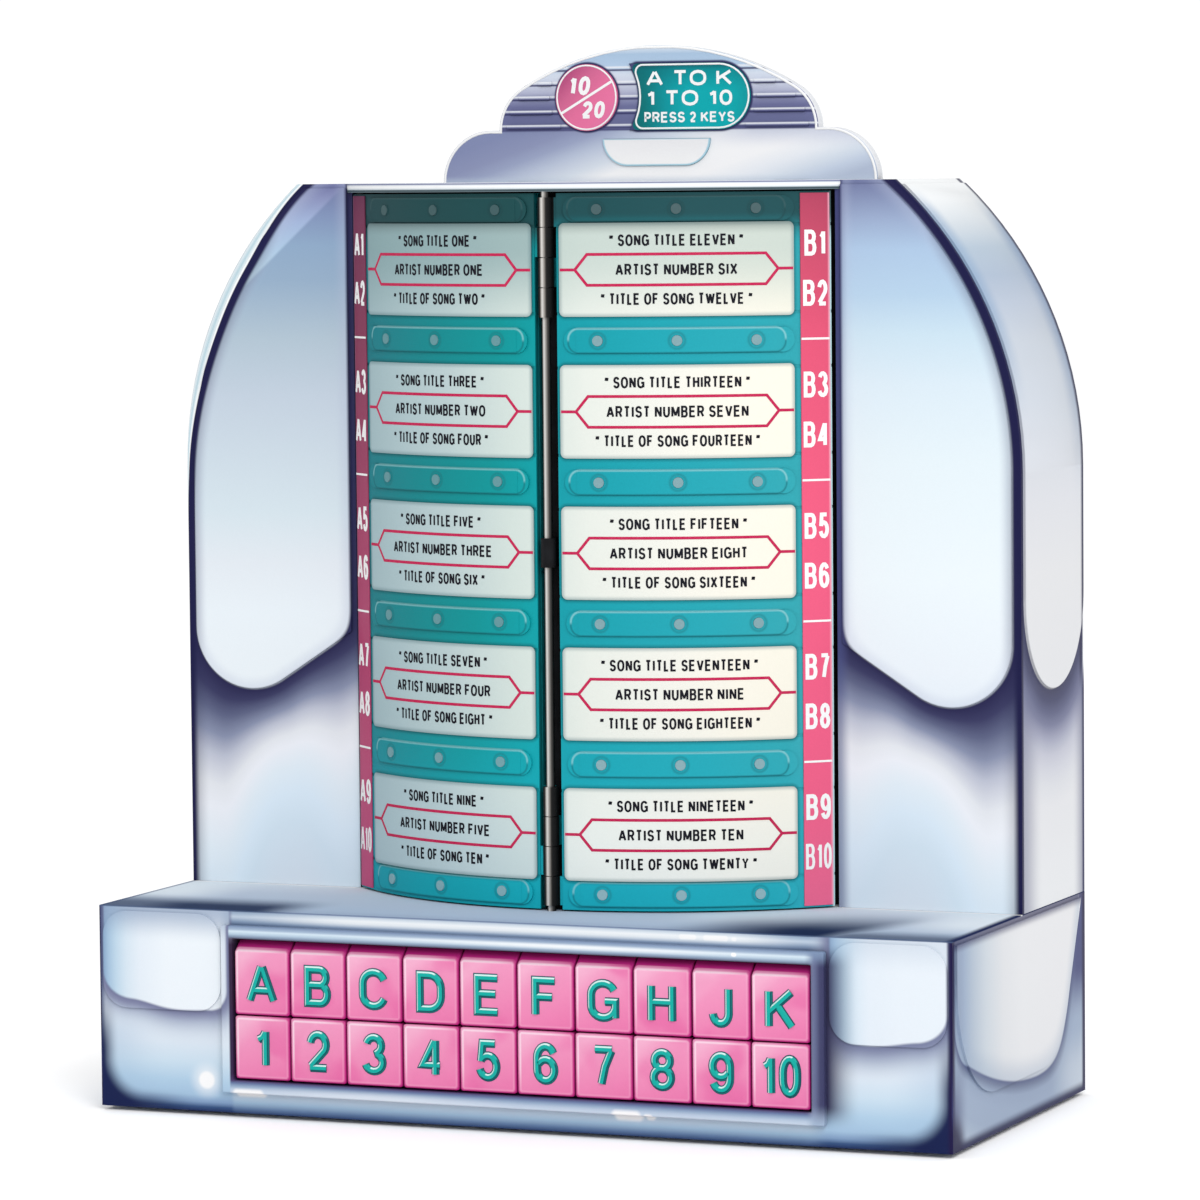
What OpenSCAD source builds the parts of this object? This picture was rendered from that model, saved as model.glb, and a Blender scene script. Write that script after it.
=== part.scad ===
// Tabletop jukebox: a base with two rows of selector keys, an arched cabinet
// with bowed title pages that turn on a rod, and a domed crest on top.
// Millimetres. Front faces -Y, +X is the viewer's right, Z = 0 is the table.

/* [Overall] */
// Width across the base and the cabinet
width = 305; // [300:1:340]
// Depth of the base, front to rear
base_d = 140; // [134:1:170]
// Height of the base top above the table
base_h = 70; // [69:1:80]
// Thickness of the base and cabinet walls
wall = 2; // [1.6:0.1:2.4]
// How far the raised panels stand out of the walls
relief = 0.8; // [0.4:0.1:1.2]
// Height of the rubber feet under the base
foot_h = 1.5; // [1.3:0.1:3]
// Thickness of the plate that closes the base
plate_t = 2; // [1.5:0.1:3]
// Play between panels that drop into each other
panel_fit = 0.3; // [0.2:0.05:0.5]

/* [Cabinet] */
// Distance of the cabinet front behind the base front
body_setback = 72; // [66:1:74]
// Height of the cabinet top above the table
body_top = 313; // [306:1:330]
// Height where the straight cabinet sides start to curve in
shoulder_z = 216; // [200:1:230]
// Width of the flat cabinet top
top_w = 218; // [206:1:240]
// Width of the page bay in the cabinet front
bay_w = 176; // [172:1:182]
// Depth of the jambs behind the bay edges
jamb_d = 14; // [12:1:17]
// Thickness of the tongue that holds the visor under the cabinet top
tongue_t = 1; // [0.8:0.1:2]
// Depth of that tongue
tongue_d = 10; // [6:1:13]
// Width of the flanges that stand the cabinet on the base
flange_w = 9; // [6:1:12]

/* [Raised panels] */
// Margin of the cheek panels from the cabinet edge
lobe_inset = 3; // [2:0.5:6]
// Height of the lowest point of the cheek panels
lobe_z = 138.2; // [125:0.2:150]
// Radius of the round foot of the cheek panels
lobe_r = 21.3; // [14:0.1:26]
// Slope of the lower edge of the cheek panels in degrees
lobe_slope = 33; // [25:1:40]
// Height of the lowest point of the cabinet side panels
side_lobe_z = 142.5; // [120:0.5:160]
// Margin of the side panels from the front and rear edges
side_inset = 2.5; // [2:0.5:6]
// Height of the lowest point of the base front panels
base_lobe_z = 35.5; // [20:0.5:45]
// Corner radius of the base front panels
base_lobe_r = 9; // [4:0.5:12]
// Height of the lowest point of the base side panels
base_side_z = 16; // [10:0.5:20]
// Front corner radius of the base side panels
base_side_front_r = 40; // [20:1:42]
// Rear corner radius of the base side panels
base_side_rear_r = 30; // [15:1:40]
// Lean of the rear edge of the base side panels in degrees
base_side_lean = 24; // [10:1:30]
// Margin of the base side panels from the rear edge, along the top
base_side_margin = 6.5; // [4:0.5:10]

/* [Keys] */
// Distance between key centres along a row
key_pitch = 20.6; // [19:0.1:21.2]
// Distance of the upper keys below the base top
key_margin = 9.5; // [8:0.1:11]
// Gap between neighbouring keys
key_gap = 0.5; // [0.4:0.1:0.8]
// Height of the sloped top of the upper keys
key_rise = 3.5; // [2:0.1:4]
// Depth of that slope
key_slope_d = 4; // [2:0.1:5]
// Height of the lower row's underside above the table
key_z = 13.4; // [12:0.1:14]
// How far the keys stand out of the base front
key_proud = 2.4; // [2:0.1:5]
// How far the block of keys sits right of the middle
key_shift = 2; // [0:0.5:4]
// Depth of a key cap
cap_d = 8; // [7:0.1:10]
// Travel of a key
key_travel = 3; // [2:0.1:4]
// Width of the square key stem
stem_w = 6; // [4:0.1:8]
// Play of the stem in the guide, each side
stem_fit = 0.15; // [0.1:0.05:0.3]
// Length of a key spring
spring_l = 10; // [8:0.5:14]
// Thickness of the key guide plate
guide_t = 3; // [2:0.1:4]
// Thickness of the collar that keeps a key in the guide
collar_t = 1.7; // [1:0.1:3]
// Width of the bezel rim around the keys
bezel_rim = 4.4; // [3.6:0.1:5]
// How far the bezel stands out of the front panels
bezel_proud = 2.2; // [1:0.1:3]
// Gap between the bezel and the front panels
bezel_gap = 1; // [0.5:0.1:4]
// Thickness of the bezel sleeve in the base wall
bezel_wall = 1.2; // [0.8:0.1:1.6]
// Play around the block of keys
bezel_play = 0.4; // [0.3:0.05:0.8]
// Height of a key switch
switch_h = 5; // [4:0.1:7]
// Thickness of the circuit boards
board_t = 1.6; // [1:0.1:2]

/* [Pages] */
// How far the pages bow out of the cabinet front
page_bulge = 39; // [36:1:42]
// Thickness of an outer page
page_t = 2.4; // [2:0.1:3]
// Thickness of an inner page
inner_t = 2; // [1.5:0.1:2.5]
// Gap between nested pages
nest_gap = 0.8; // [0.6:0.1:1.2]
// Thickness of the fixed drum behind the pages
drum_t = 2; // [1.5:0.1:3]
// Gap between the inner pages and the drum
drum_gap = 1.2; // [1:0.1:1.6]
// Gap above and below the pages
page_gap = 0.6; // [0.4:0.1:1]
// Gap between the page edge and the bay
edge_gap = 1; // [0.8:0.1:2]
// Width of the dark gap between the left and right pages
spine_gap = 8; // [8:0.2:10]
// Diameter of the page rod
rod_d = 3; // [2.6:0.1:3.2]
// Outer diameter of the page knuckles
knuckle_d = 5.2; // [5:0.1:5.6]
// Height of a page knuckle
knuckle_h = 9.7; // [8:0.1:12]
// Gap between stacked knuckles
knuckle_gap = 0.3; // [0.2:0.05:0.6]
// Radial play of the rod in a turning knuckle
rod_play = 0.05; // [0.02:0.01:0.08]
// Gap between the title cards and the index strip
card_edge_gap = 2.3; // [1.6:0.1:8]
// Height of a title card
card_h = 31; // [26:0.5:34]
// Thickness of a title card
card_t = 0.4; // [0.3:0.1:0.6]
// Gap between the end cards and the end ridges
card_gap = 0.35; // [0.3:0.05:3]
// Start of the cards from the middle of the spine, along the page
card_s = 5; // [5:0.2:6]
// Margin of the index strip from the page edge
index_margin = 0.8; // [0.5:0.1:1.5]
// Width of the index strip
index_w = 10.5; // [8:0.1:12]
// Height of a page ridge
ridge_h = 8.3; // [6:0.1:9]
// How far a ridge stands out of the page
ridge_t = 0.8; // [0.5:0.1:1]
// Distance of the end ridges from the page ends
ridge_end = 5.4; // [5:0.1:7]
// Diameter of a rivet
rivet_d = 3.5; // [3:0.1:4]
// How far a rivet stands out of its ridge
rivet_proud = 0.4; // [0.3:0.1:0.6]
// Depth of a rivet below the ridge
rivet_l = 1.6; // [1.2:0.1:2]

/* [Crest] */
// Width of the lower crest tier
crest_w = 162; // [156:1:180]
// Height and corner radius of the lower tier
crest_step = 18; // [17:0.5:22]
// Width of the dome
dome_w = 118.8; // [116:0.2:130]
// Height of the dome above the lower tier
dome_h = 29; // [28:0.5:34]
// Radius of the dome ends
dome_end_r = 17; // [14:0.5:20]
// Thickness of the crest
crest_t = 6; // [5:0.1:9]
// Thickness of the crest face
crest_face_t = 2; // [1.8:0.1:2.2]
// Thickness of the crest back and rim
crest_back_t = 1.2; // [1:0.1:2]
// Depth of the seats for the disc, the sign and the window
inlay_d = 0.8; // [0.5:0.1:1]
// Thickness of the disc, the sign and the window
inlay_t = 1.6; // [1.2:0.1:2]
// Radial play of the inlays in their seats
inlay_fit = 0.1; // [0.05:0.05:0.2]
// Diameter of the price disc
disc_d = 23.2; // [18:0.2:24]
// Distance of the disc left of the middle
disc_x = 26; // [25:0.2:28]
// Length of the sign panel
sign_w = 45; // [40:0.5:46]
// Height of the sign panel
sign_h = 23; // [18:0.5:23]
// Gap between the disc and the hollow end of the sign
sign_gap = 8.1; // [6:0.1:9]
// Width of the half-moon window
window_w = 40; // [30:0.5:44]
// Height of the half-moon window
window_h = 9.3; // [8:0.1:10]
// Height of the window foot above the cabinet top
window_z = 5.3; // [3:0.1:6]
// Height of a crest fin
fin_h = 1.4; // [1:0.1:2]
// Distance between the crest fins
fin_pitch = 5; // [4:0.1:5.2]
// Width of the tabs that hold the crest in the cabinet top
tab_w = 12; // [8:0.5:16]
// Length of those tabs below the cabinet top
tab_l = 9; // [6:0.5:14]

/* [Coin path] */
// Distance of the coin slot right of the middle
coin_x = 30; // [28:1:33]
// Length of the coin slot
coin_w = 28; // [24:0.5:30]
// Width of the coin slot
coin_gap = 3; // [2.6:0.1:3.4]
// Thickness of the chute wall
chute_wall = 0.8; // [0.6:0.1:1]
// Width of the coin box
box_w = 54; // [50:1:56]
// Depth of the coin box
box_d = 40; // [30:1:44]
// Height of the coin box
box_h = 55; // [40:1:70]
// Wall of the coin box
box_wall = 1; // [0.8:0.1:1.5]

/* [Rear and speakers] */
// Thickness of the rear cover
cover_t = 1.6; // [1.4:0.1:2]
// Length of the screw bosses behind the cover
boss_l = 12; // [8:1:16]
// Diameter of a screw boss
boss_d = 8; // [7:0.1:9]
// Diameter of the assembly screws
screw_d = 2.5; // [2.3:0.1:2.6]
// Diameter of the screw heads
screw_head_d = 5; // [4.6:0.1:5.2]
// Height of the screw heads
screw_head_h = 1.2; // [1:0.05:1.25]
// Diameter of a speaker
speaker_d = 92; // [80:1:96]
// Distance between the speaker centres
speaker_spacing = 148; // [140:1:156]
// Height of the speaker centres
speaker_z = 205; // [195:1:215]
// Depth of a speaker basket
speaker_depth = 24; // [20:1:26]
// Diameter of a speaker magnet
magnet_d = 42; // [36:1:46]
// Depth of a speaker magnet
magnet_h = 13; // [10:1:14]
// Height of a grille slot
grille_h = 3; // [2:0.1:4]
// Distance between the grille slots
grille_pitch = 7; // [6:0.1:9]

/* [Inside the base] */
// Distance of the base screws from the outside of the base
post_inset = 12; // [10:0.5:14]
// Width of the amplifier board
amp_w = 110; // [90:1:116]
// Depth of the amplifier board
amp_d = 56; // [48:1:60]
// Height of the amplifier board above the base plate
amp_lift = 5; // [4:0.5:8]
// Width of the transformer core
core_w = 50; // [40:1:56]
// Height of the transformer core
core_h = 42; // [34:1:46]
// Depth of the transformer core
core_d = 26; // [20:1:30]
// Diameter of the cord hole through the gland
gland_bore = 7; // [6:0.1:8]
// Diameter of the gland barrel
gland_d = 10; // [9.5:0.1:11]
// Diameter of the volume wheel
wheel_d = 28; // [24:0.5:32]
// Thickness of the volume wheel
wheel_t = 4; // [3:0.1:6]
// Diameter of the volume shaft
shaft_d = 4; // [3:0.1:5]
// Radial play of the wheel on its shaft
shaft_play = 0.04; // [0.02:0.01:0.08]
// How far the wheel and the gland stand out of the base rear
rear_proud = 2; // [1.4:0.1:3]

/* [Mounting] */
// Distance between the counter bolts along the width
bolt_dx = 200; // [190:1:210]
// Distance between the counter bolts along the depth
bolt_dy = 80; // [70:1:86]
// Diameter of a counter bolt hole
bolt_d = 5.5; // [4.5:0.1:6.5]
// Diameter of a rubber foot
foot_d = 18; // [14:0.5:22]
// Distance of the feet from the outside of the base
foot_inset = 24; // [22:0.5:28]

/* [Hidden] */
$fn = 96;
LETTERS = ["a", "b", "c", "d", "e", "f", "g", "h", "j", "k"];
RIGHT = 1;
LEFT = -1;
cut = 1;
pin_fit = 0.05;
hw = width / 2;

// Planes along the depth
front_proud = max(key_proud, relief + bezel_proud);
front_y = front_proud - (front_proud + base_d + rear_proud) / 2;
rear_y = front_y + base_d;
body_y = front_y + body_setback;
cover_y = rear_y - cover_t;
body_mid_y = (body_y + rear_y) / 2;

// Cabinet outline: vertical sides, then one arc to the flat top
arc_drop = (width - top_w) / 2;
arc_rise = body_top - shoulder_z;
arc_r = (arc_drop * arc_drop + arc_rise * arc_rise) / (2 * arc_drop);
bay_half = bay_w / 2;
visor_t = wall + tongue_t;
visor_over = 1.5;
side_lobe_r = (rear_y - body_y) / 2 - side_inset;

// Raised panels
lobe_cx = hw - lobe_inset - lobe_r;
lobe_cz = lobe_z + lobe_r;
lobe_tx = lobe_cx - lobe_r * sin(lobe_slope);
lobe_tz = lobe_cz - lobe_r * cos(lobe_slope);
lobe_bay_x = bay_half + wall;
panel_top_gap = 1.5;

// Keys
key_cols = len(LETTERS);
row_h = (base_h - key_z - key_rise - key_margin) / 2;
block_w = key_cols * key_pitch;
block_top = key_z + 2 * row_h + key_rise;
cap_y = front_y - key_proud;
cap_back_y = cap_y + cap_d;
guide_y = cap_back_y + spring_l;
guide_back_y = guide_y + guide_t;
collar_gap = 0.3;
stem_end_y = guide_back_y + collar_gap + collar_t + 2 * key_travel;
switch_y = stem_end_y + key_travel + collar_gap;
board_y = switch_y + switch_h;
collar_over = 3;
collar_w = stem_w + collar_over;
spring_play = 0.6;
spring_id = stem_w * sqrt(2) + spring_play;
spring_wire = 0.7;
spring_gap = 0.1;
guide_side = 9;
pillar_d = 5;
sleeve_over = 3;
sleeve_d = wall + sleeve_over;
switch_w = 6.2;
plunger_d = 3.2;
plunger_h = 1.5;

// Base
plate_top = foot_h + plate_t;
post_x = hw - post_inset;
post_y = [front_y + post_inset, rear_y - post_inset];
foot_x = hw - foot_inset;
foot_y = [front_y + foot_inset, rear_y - foot_inset];
foot_peg_d = 5;
foot_peg_over = 0.5;
screw_bite = 10;

// Pages: the outer face is part of one upright cylinder
page_r = (bay_half * bay_half + page_bulge * page_bulge) / (2 * page_bulge);
spine_y = body_y - page_bulge;
page_cy = spine_y + page_r;
page_z0 = base_h + page_gap;
page_z1 = body_top - visor_t - page_gap;
page_mid_z = (page_z0 + page_z1) / 2;
rod_sink = 0.4;
rod_y = spine_y + rod_sink;
inner_depth = page_t + nest_gap;
drum_depth = inner_depth + inner_t + drum_gap;
spine_half = spine_gap / 2;
spine_a = asin(spine_half / page_r);
edge_a = asin((bay_half - edge_gap) / page_r);
drum_a = asin((bay_half - panel_fit) / (page_r - drum_depth));
page_s = page_r * edge_a * PI / 180;
index_s = page_s - index_margin - index_w;
card_w = index_s - card_edge_gap - card_s;
web_w = 2;
web_lap = 0.8;
web_sink = 0.4;
rod_seat = 1.5;
knuckle_step = knuckle_h + knuckle_gap;
knuckle_margin = 1.4;
face_fit = 0.1;
card_count = 5;
ridge_inset = 1.5;
ridge_drop = 0.1;
ridge_lip = 0.1;
groove_d = 0.3;
groove_h = 1;
groove_inset = 0.5;
ridge_count = card_count + 1;
end_card_z = page_z1 - ridge_end - ridge_h / 2 - card_gap - card_h / 2;
card_pitch = (end_card_z - page_mid_z) * 2 / (card_count - 1);
rivet_count = 3;

// Crest
tier_z = body_top + crest_step;
tier_half = crest_w / 2;
dome_half = dome_w / 2;
dome_end_x = dome_half - dome_end_r;
dome_k = (pow(dome_end_x, 2) - pow(dome_h - dome_end_r, 2)) / (2 * (dome_h - dome_end_r));
dome_r = dome_k + dome_h;
dome_tan_x = dome_end_x * dome_r / (dome_r - dome_end_r);
crest_y = rear_y - crest_t;
crest_back_y = rear_y - crest_back_t;
emblem_rise = 11.2;
emblem_z = tier_z + emblem_rise;
sign_hollow_r = disc_d / 2 + sign_gap;
sign_x0 = sqrt(pow(sign_hollow_r, 2) - pow(sign_h / 2, 2)) - disc_x;
sign_x1 = sign_x0 + sign_w;
fin_count = 5;
fin_gap = 2.5;
fin_margin = 3;
tab_x = 50;
tab_t = 2.4;

// Coin path
coin_back = 8;
coin_y = body_y + jamb_d + coin_back;
box_back = 2;
box_y0 = body_y + jamb_d + box_back;
box_x0 = coin_x - box_w / 2;
chute_flange = 4;
chute_flange_t = 1.2;
chute_drop = 6;

// Rear
boss_lap = 1;
boss_off = boss_d / 2 - boss_lap;
boss_foot = 20;
boss_drop = 7;
boss_top_x = 70;
boss_spots = [
  [hw - wall - boss_off, base_h + boss_foot],
  [hw - wall - boss_off, shoulder_z - boss_drop],
  [boss_top_x, body_top - wall - boss_off]
];
speaker_x = speaker_spacing / 2;
flange_t = 2;
basket_wall = 1.4;
basket_inset = 4;
neck_margin = 3;
pole_r = 8;
speaker_rim = 6;
cone_r = speaker_d / 2 - speaker_rim;
cone_cap_r = 11;
cone_cap_rise = 2.4;
cone_lip = 0.4;
cone_t = 1.2;
motor_room = 9.6;
cone_deep = speaker_depth - motor_room;
grille_count = 11;

// Base equipment
amp_x0 = 4;
amp_gap = 6;
amp_y0 = rear_y - wall - amp_gap - amp_d;
sink_x = 12;
sink_front = 14;
sink_rear = 12;
sink_h = 24;
sink_fins = 6;
sink_pitch = 5;
sink_fin_t = 1.6;
can_x = 62;
can_y = 22;
can_d = 12;
can_h = 22;
can_pitch = 15;
can_count = 3;
transformer_inset = 74.5;
transformer_x = transformer_inset - hw;
transformer_back = 44;
transformer_y = rear_y - transformer_back;
coil_inset = 6;
coil_proud = 8;
coil_lift = 8;
lug_w = 10;
lug_t = 2;
cable_x = -60;
cable_w = 30;
cable_d = 16;
gland_inset = 40.5;
gland_x = hw - gland_inset;
gland_z = 22;
gland_flange = 3;
gland_l = wall + gland_flange + rear_proud;
wheel_x = -20;
wheel_z = 34;
wheel_sink = 0.2;
wheel_y = rear_y + rear_proud - wheel_sink - wheel_d / 2;
shaft_over = 1;
wheel_slot_play = 0.8;
pot_d = 12;

// Draw a flat outline between two X planes, as a (Y, Z) shape
module along_x(x0, x1) translate([x0, 0, 0]) rotate([90, 0, 90]) linear_extrude(height = x1 - x0) children();

// Draw a flat outline between two Y planes, as an (X, Z) shape
module along_y(y0, y1) translate([0, y1, 0]) rotate([90, 0, 0]) linear_extrude(height = y1 - y0) children();

// Draw a flat outline between two Z planes, as an (X, Y) shape
module along_z(z0, z1) translate([0, 0, z0]) linear_extrude(height = z1 - z0) children();

module both_sides() {
  children();
  mirror([1, 0, 0]) children();
}

module rect(x0, x1, y0, y1) translate([x0, y0]) square([x1 - x0, y1 - y0]);

module round_rect(x0, x1, y0, y1, r) {
  rect(x0 + r, x1 - r, y0, y1);
  rect(x0, x1, y0 + r, y1 - r);
  for (x = [x0 + r, x1 - r], y = [y0 + r, y1 - r]) translate([x, y]) circle(r = r);
}

// Bar with round ends along X
module pill(x0, x1, y0, y1) {
  r = (y1 - y0) / 2;
  rect(x0 + r, x1 - r, y0, y1);
  for (x = [x0 + r, x1 - r]) translate([x, y0 + r]) circle(r = r);
}

// Pin or hole along +Y, starting at y
module pin_y(x, y, z, d, l) translate([x, y, z]) rotate([-90, 0, 0]) cylinder(d = d, h = l);

// Cabinet outline seen from the front, drawn in by inset
module body_outline(inset, z0, z1) {
  both_sides() {
    rect(0, hw - inset, z0, shoulder_z);
    intersection() {
      translate([hw - arc_r, shoulder_z]) circle(r = arc_r - inset);
      rect(0, hw + relief, shoulder_z, z1);
    }
  }
}

// Panels beside the bay: a round foot, a sloped lower edge and the cabinet arc
module cheek_panels() {
  intersection() {
    body_outline(lobe_inset, base_h, body_top - panel_top_gap);
    both_sides() {
      translate([lobe_cx, lobe_cz]) circle(r = lobe_r);
      polygon([
        [lobe_bay_x, lobe_tz + (lobe_tx - lobe_bay_x) * tan(lobe_slope)],
        [lobe_tx, lobe_tz],
        [lobe_cx, lobe_cz],
        [lobe_cx + lobe_r, lobe_cz],
        [lobe_cx + lobe_r, body_top],
        [lobe_bay_x, body_top]
      ]);
    }
  }
}

// Side panel outline in (Y, Z): straight edges over a round foot
module side_panel() {
  translate([body_mid_y, side_lobe_z + side_lobe_r]) circle(r = side_lobe_r);
  rect(
    body_mid_y - side_lobe_r, body_mid_y + side_lobe_r,
    side_lobe_z + side_lobe_r, body_top - panel_top_gap
  );
}

module base_front_panels() {
  inner = block_w / 2 + bezel_play + bezel_rim + bezel_gap;
  outer = hw - panel_top_gap;
  z1 = base_h - panel_top_gap;
  round_rect(-outer, key_shift - inner, base_lobe_z, z1, base_lobe_r);
  round_rect(key_shift + inner, outer, base_lobe_z, z1, base_lobe_r);
}

// Base side panel outline in (Y, Z): two round lower corners and a leaning rear edge
module base_side_panel() {
  y0 = front_y + side_inset;
  y1 = rear_y - base_side_margin;
  z1 = base_h - panel_top_gap;
  front = [y0 + base_side_front_r, base_side_z + base_side_front_r];
  rear_cz = base_side_z + base_side_rear_r;
  rear_cy = y1 - ((z1 - rear_cz) * sin(base_side_lean) + base_side_rear_r) / cos(base_side_lean);
  rear = [rear_cy, rear_cz];
  polygon([
    [front[0], base_side_z],
    [rear_cy, base_side_z],
    rear,
    rear + base_side_rear_r * [cos(base_side_lean), -sin(base_side_lean)],
    [y1, z1],
    [y0, z1],
    [y0, front[1]],
    front
  ]);
  intersection() {
    union() {
      translate(front) circle(r = base_side_front_r);
      translate(rear) circle(r = base_side_rear_r);
    }
    rect(y0, y1, base_side_z, z1);
  }
}

// Opening around the block of keys, grown by a margin
module key_window(grow) {
  half = block_w / 2 + bezel_play + grow;
  rect(key_shift - half, key_shift + half, key_z - bezel_play - grow, block_top + bezel_play + grow);
}

function key_x(col) = key_shift + (col - (key_cols - 1) / 2) * key_pitch;
function key_row_z(row) = key_z + (row + 0.5) * row_h;

// Base: a hollow shell, open below
module base_shell() {
  color("lightsteelblue") {
    difference() {
      union() {
        along_z(foot_h, base_h) rect(-hw, hw, front_y, rear_y);
        along_y(front_y - relief, front_y + wall) base_front_panels();
        along_x(-hw - relief, hw + relief) base_side_panel();
      }
      along_z(foot_h - cut, base_h - wall) rect(-hw + wall, hw - wall, front_y + wall, rear_y - wall);
      along_y(front_y - cut, front_y + wall + cut) key_window(bezel_wall + panel_fit);
      translate([0, rod_y, base_h - wall - cut]) cylinder(d = rod_d + 2 * pin_fit, h = wall + 2 * cut);
      along_z(base_h - wall - cut, base_h + cut) cable_hole();
      pin_y(gland_x, rear_y - wall - cut, gland_z, gland_d + 2 * pin_fit, wall + 2 * cut);
      along_y(rear_y - wall - cut, rear_y + cut) wheel_slot();
    }
    for (x = [-post_x, post_x], y = post_y) {
      translate([x, y, plate_top]) difference() {
        cylinder(d = boss_d, h = base_h - wall / 2 - plate_top);
        translate([0, 0, -cut]) cylinder(d = screw_d + 2 * pin_fit, h = screw_bite + 2 * cut);
      }
    }
  }
}

// Hole in the base top for the speaker wires
module cable_hole() rect(cable_x, cable_x + cable_w, body_y + jamb_d, body_y + jamb_d + cable_d);

// Slot in the base rear that the volume wheel reaches through
module wheel_slot() {
  inner_gap = wheel_y - (rear_y - wall);
  half = sqrt(pow(wheel_d / 2, 2) - pow(inner_gap, 2)) + wheel_slot_play;
  rect(wheel_x - half, wheel_x + half, wheel_z - wheel_slot_play, wheel_z + wheel_t + wheel_slot_play);
}

// Plate that closes the base, with the counter bolt holes
module bottom_plate() {
  in_x = hw - wall - panel_fit;
  color("darkgray") {
    difference() {
      along_z(foot_h, plate_top)
        rect(-in_x, in_x, front_y + wall + panel_fit, rear_y - wall - panel_fit);
      translate([0, 0, foot_h - cut]) {
        for (x = [-bolt_dx / 2, bolt_dx / 2], y = [-bolt_dy / 2, bolt_dy / 2]) translate([x, y, 0])
          cylinder(d = bolt_d, h = plate_t + 2 * cut);
        for (x = [-post_x, post_x], y = post_y) translate([x, y, 0])
          cylinder(d = screw_d + 2 * panel_fit, h = plate_t + 2 * cut);
        for (x = [-foot_x, foot_x], y = foot_y) translate([x, y, 0])
          cylinder(d = foot_peg_d + 2 * pin_fit, h = plate_t + 2 * cut);
      }
    }
    for (x = [amp_x0 + pillar_d, amp_x0 + amp_w - pillar_d])
      for (y = [amp_y0 + pillar_d, amp_y0 + amp_d - pillar_d])
        translate([x, y, plate_top - plate_t / 2]) cylinder(d = pillar_d, h = plate_t / 2 + amp_lift);
  }
}

module rubber_feet() {
  color("dimgray") for (x = [-foot_x, foot_x], y = foot_y) translate([x, y, 0]) {
    cylinder(d = foot_d, h = foot_h);
    cylinder(d = foot_peg_d, h = plate_top + foot_peg_over);
  }
}

module base_screws() {
  color("silver") for (x = [-post_x, post_x], y = post_y) translate([x, y, 0]) {
    translate([0, 0, foot_h - screw_head_h]) cylinder(d = screw_head_d, h = screw_head_h);
    translate([0, 0, foot_h - screw_head_h / 2]) cylinder(d = screw_d, h = plate_t + screw_bite);
  }
}

// Frame around the keys, with a sleeve through the base front
module key_bezel() {
  color("lightskyblue") difference() {
    union() {
      along_y(front_y - relief - bezel_proud, front_y) key_window(bezel_rim);
      along_y(front_y - relief, front_y + sleeve_d) key_window(bezel_wall);
    }
    along_y(front_y - relief - bezel_proud - cut, front_y + sleeve_d + cut) key_window(0);
  }
}

// Plate that guides the key stems, on flanges that stand against the base front
module key_guide() {
  half = block_w / 2 + guide_side;
  top = base_h - wall - panel_fit;
  color("gray") {
    difference() {
      along_y(guide_y, guide_back_y) rect(key_shift - half, key_shift + half, plate_top, top);
      along_y(guide_y - cut, guide_back_y + cut)
        for (col = [0 : key_cols - 1], row = [0, 1]) translate([key_x(col), key_row_z(row)])
          square(stem_w + 2 * stem_fit, center = true);
    }
    for (x = [key_shift - half, key_shift + half - wall])
      along_y(front_y + wall, guide_y + guide_t / 2) rect(x, x + wall, plate_top, top);
    for (x = [-half + pillar_d, half - pillar_d], z = [key_row_z(0), key_row_z(1)])
      pin_y(key_shift + x, guide_y + guide_t / 2, z, pillar_d, board_y - guide_y - guide_t / 2);
  }
}

// One key: cap, square stem and collar. The upper row has a sloped top.
module key(col, row) {
  x = key_x(col);
  z = key_row_z(row);
  half = (key_pitch - key_gap) / 2;
  z0 = z - row_h / 2 + key_gap / 2;
  z1 = z + row_h / 2 - key_gap / 2;
  rise = row == 1 ? key_rise : 0;
  color(row == 1 ? "mediumvioletred" : "pink") {
    along_x(x - half, x + half) polygon([
      [cap_y, z0], [cap_back_y, z0], [cap_back_y, z1 + rise], [cap_y + key_slope_d, z1 + rise], [cap_y, z1]
    ]);
    along_y(cap_back_y - cut, stem_end_y) translate([x, z]) square(stem_w, center = true);
    along_y(guide_back_y + collar_gap, guide_back_y + collar_gap + collar_t)
      translate([x, z]) square(collar_w, center = true);
  }
}

module key_springs() {
  color("silver") for (col = [0 : key_cols - 1], row = [0, 1])
    along_y(cap_back_y + spring_gap, guide_y - spring_gap)
      translate([key_x(col), key_row_z(row)]) difference() {
        circle(d = spring_id + 2 * spring_wire);
        circle(d = spring_id);
      }
}

module switch_board() {
  half = block_w / 2 + guide_side;
  color("darkgreen") along_y(board_y, board_y + board_t)
    rect(key_shift - half, key_shift + half, key_row_z(0) - row_h / 2, key_row_z(1) + row_h / 2);
}

module key_switches() {
  color("black") for (col = [0 : key_cols - 1], row = [0, 1]) {
    along_y(switch_y + plunger_h, board_y)
      translate([key_x(col), key_row_z(row)]) square(switch_w, center = true);
    pin_y(key_x(col), switch_y, key_row_z(row), plunger_d, switch_h / 2 + plunger_h / 2);
  }
}

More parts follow.
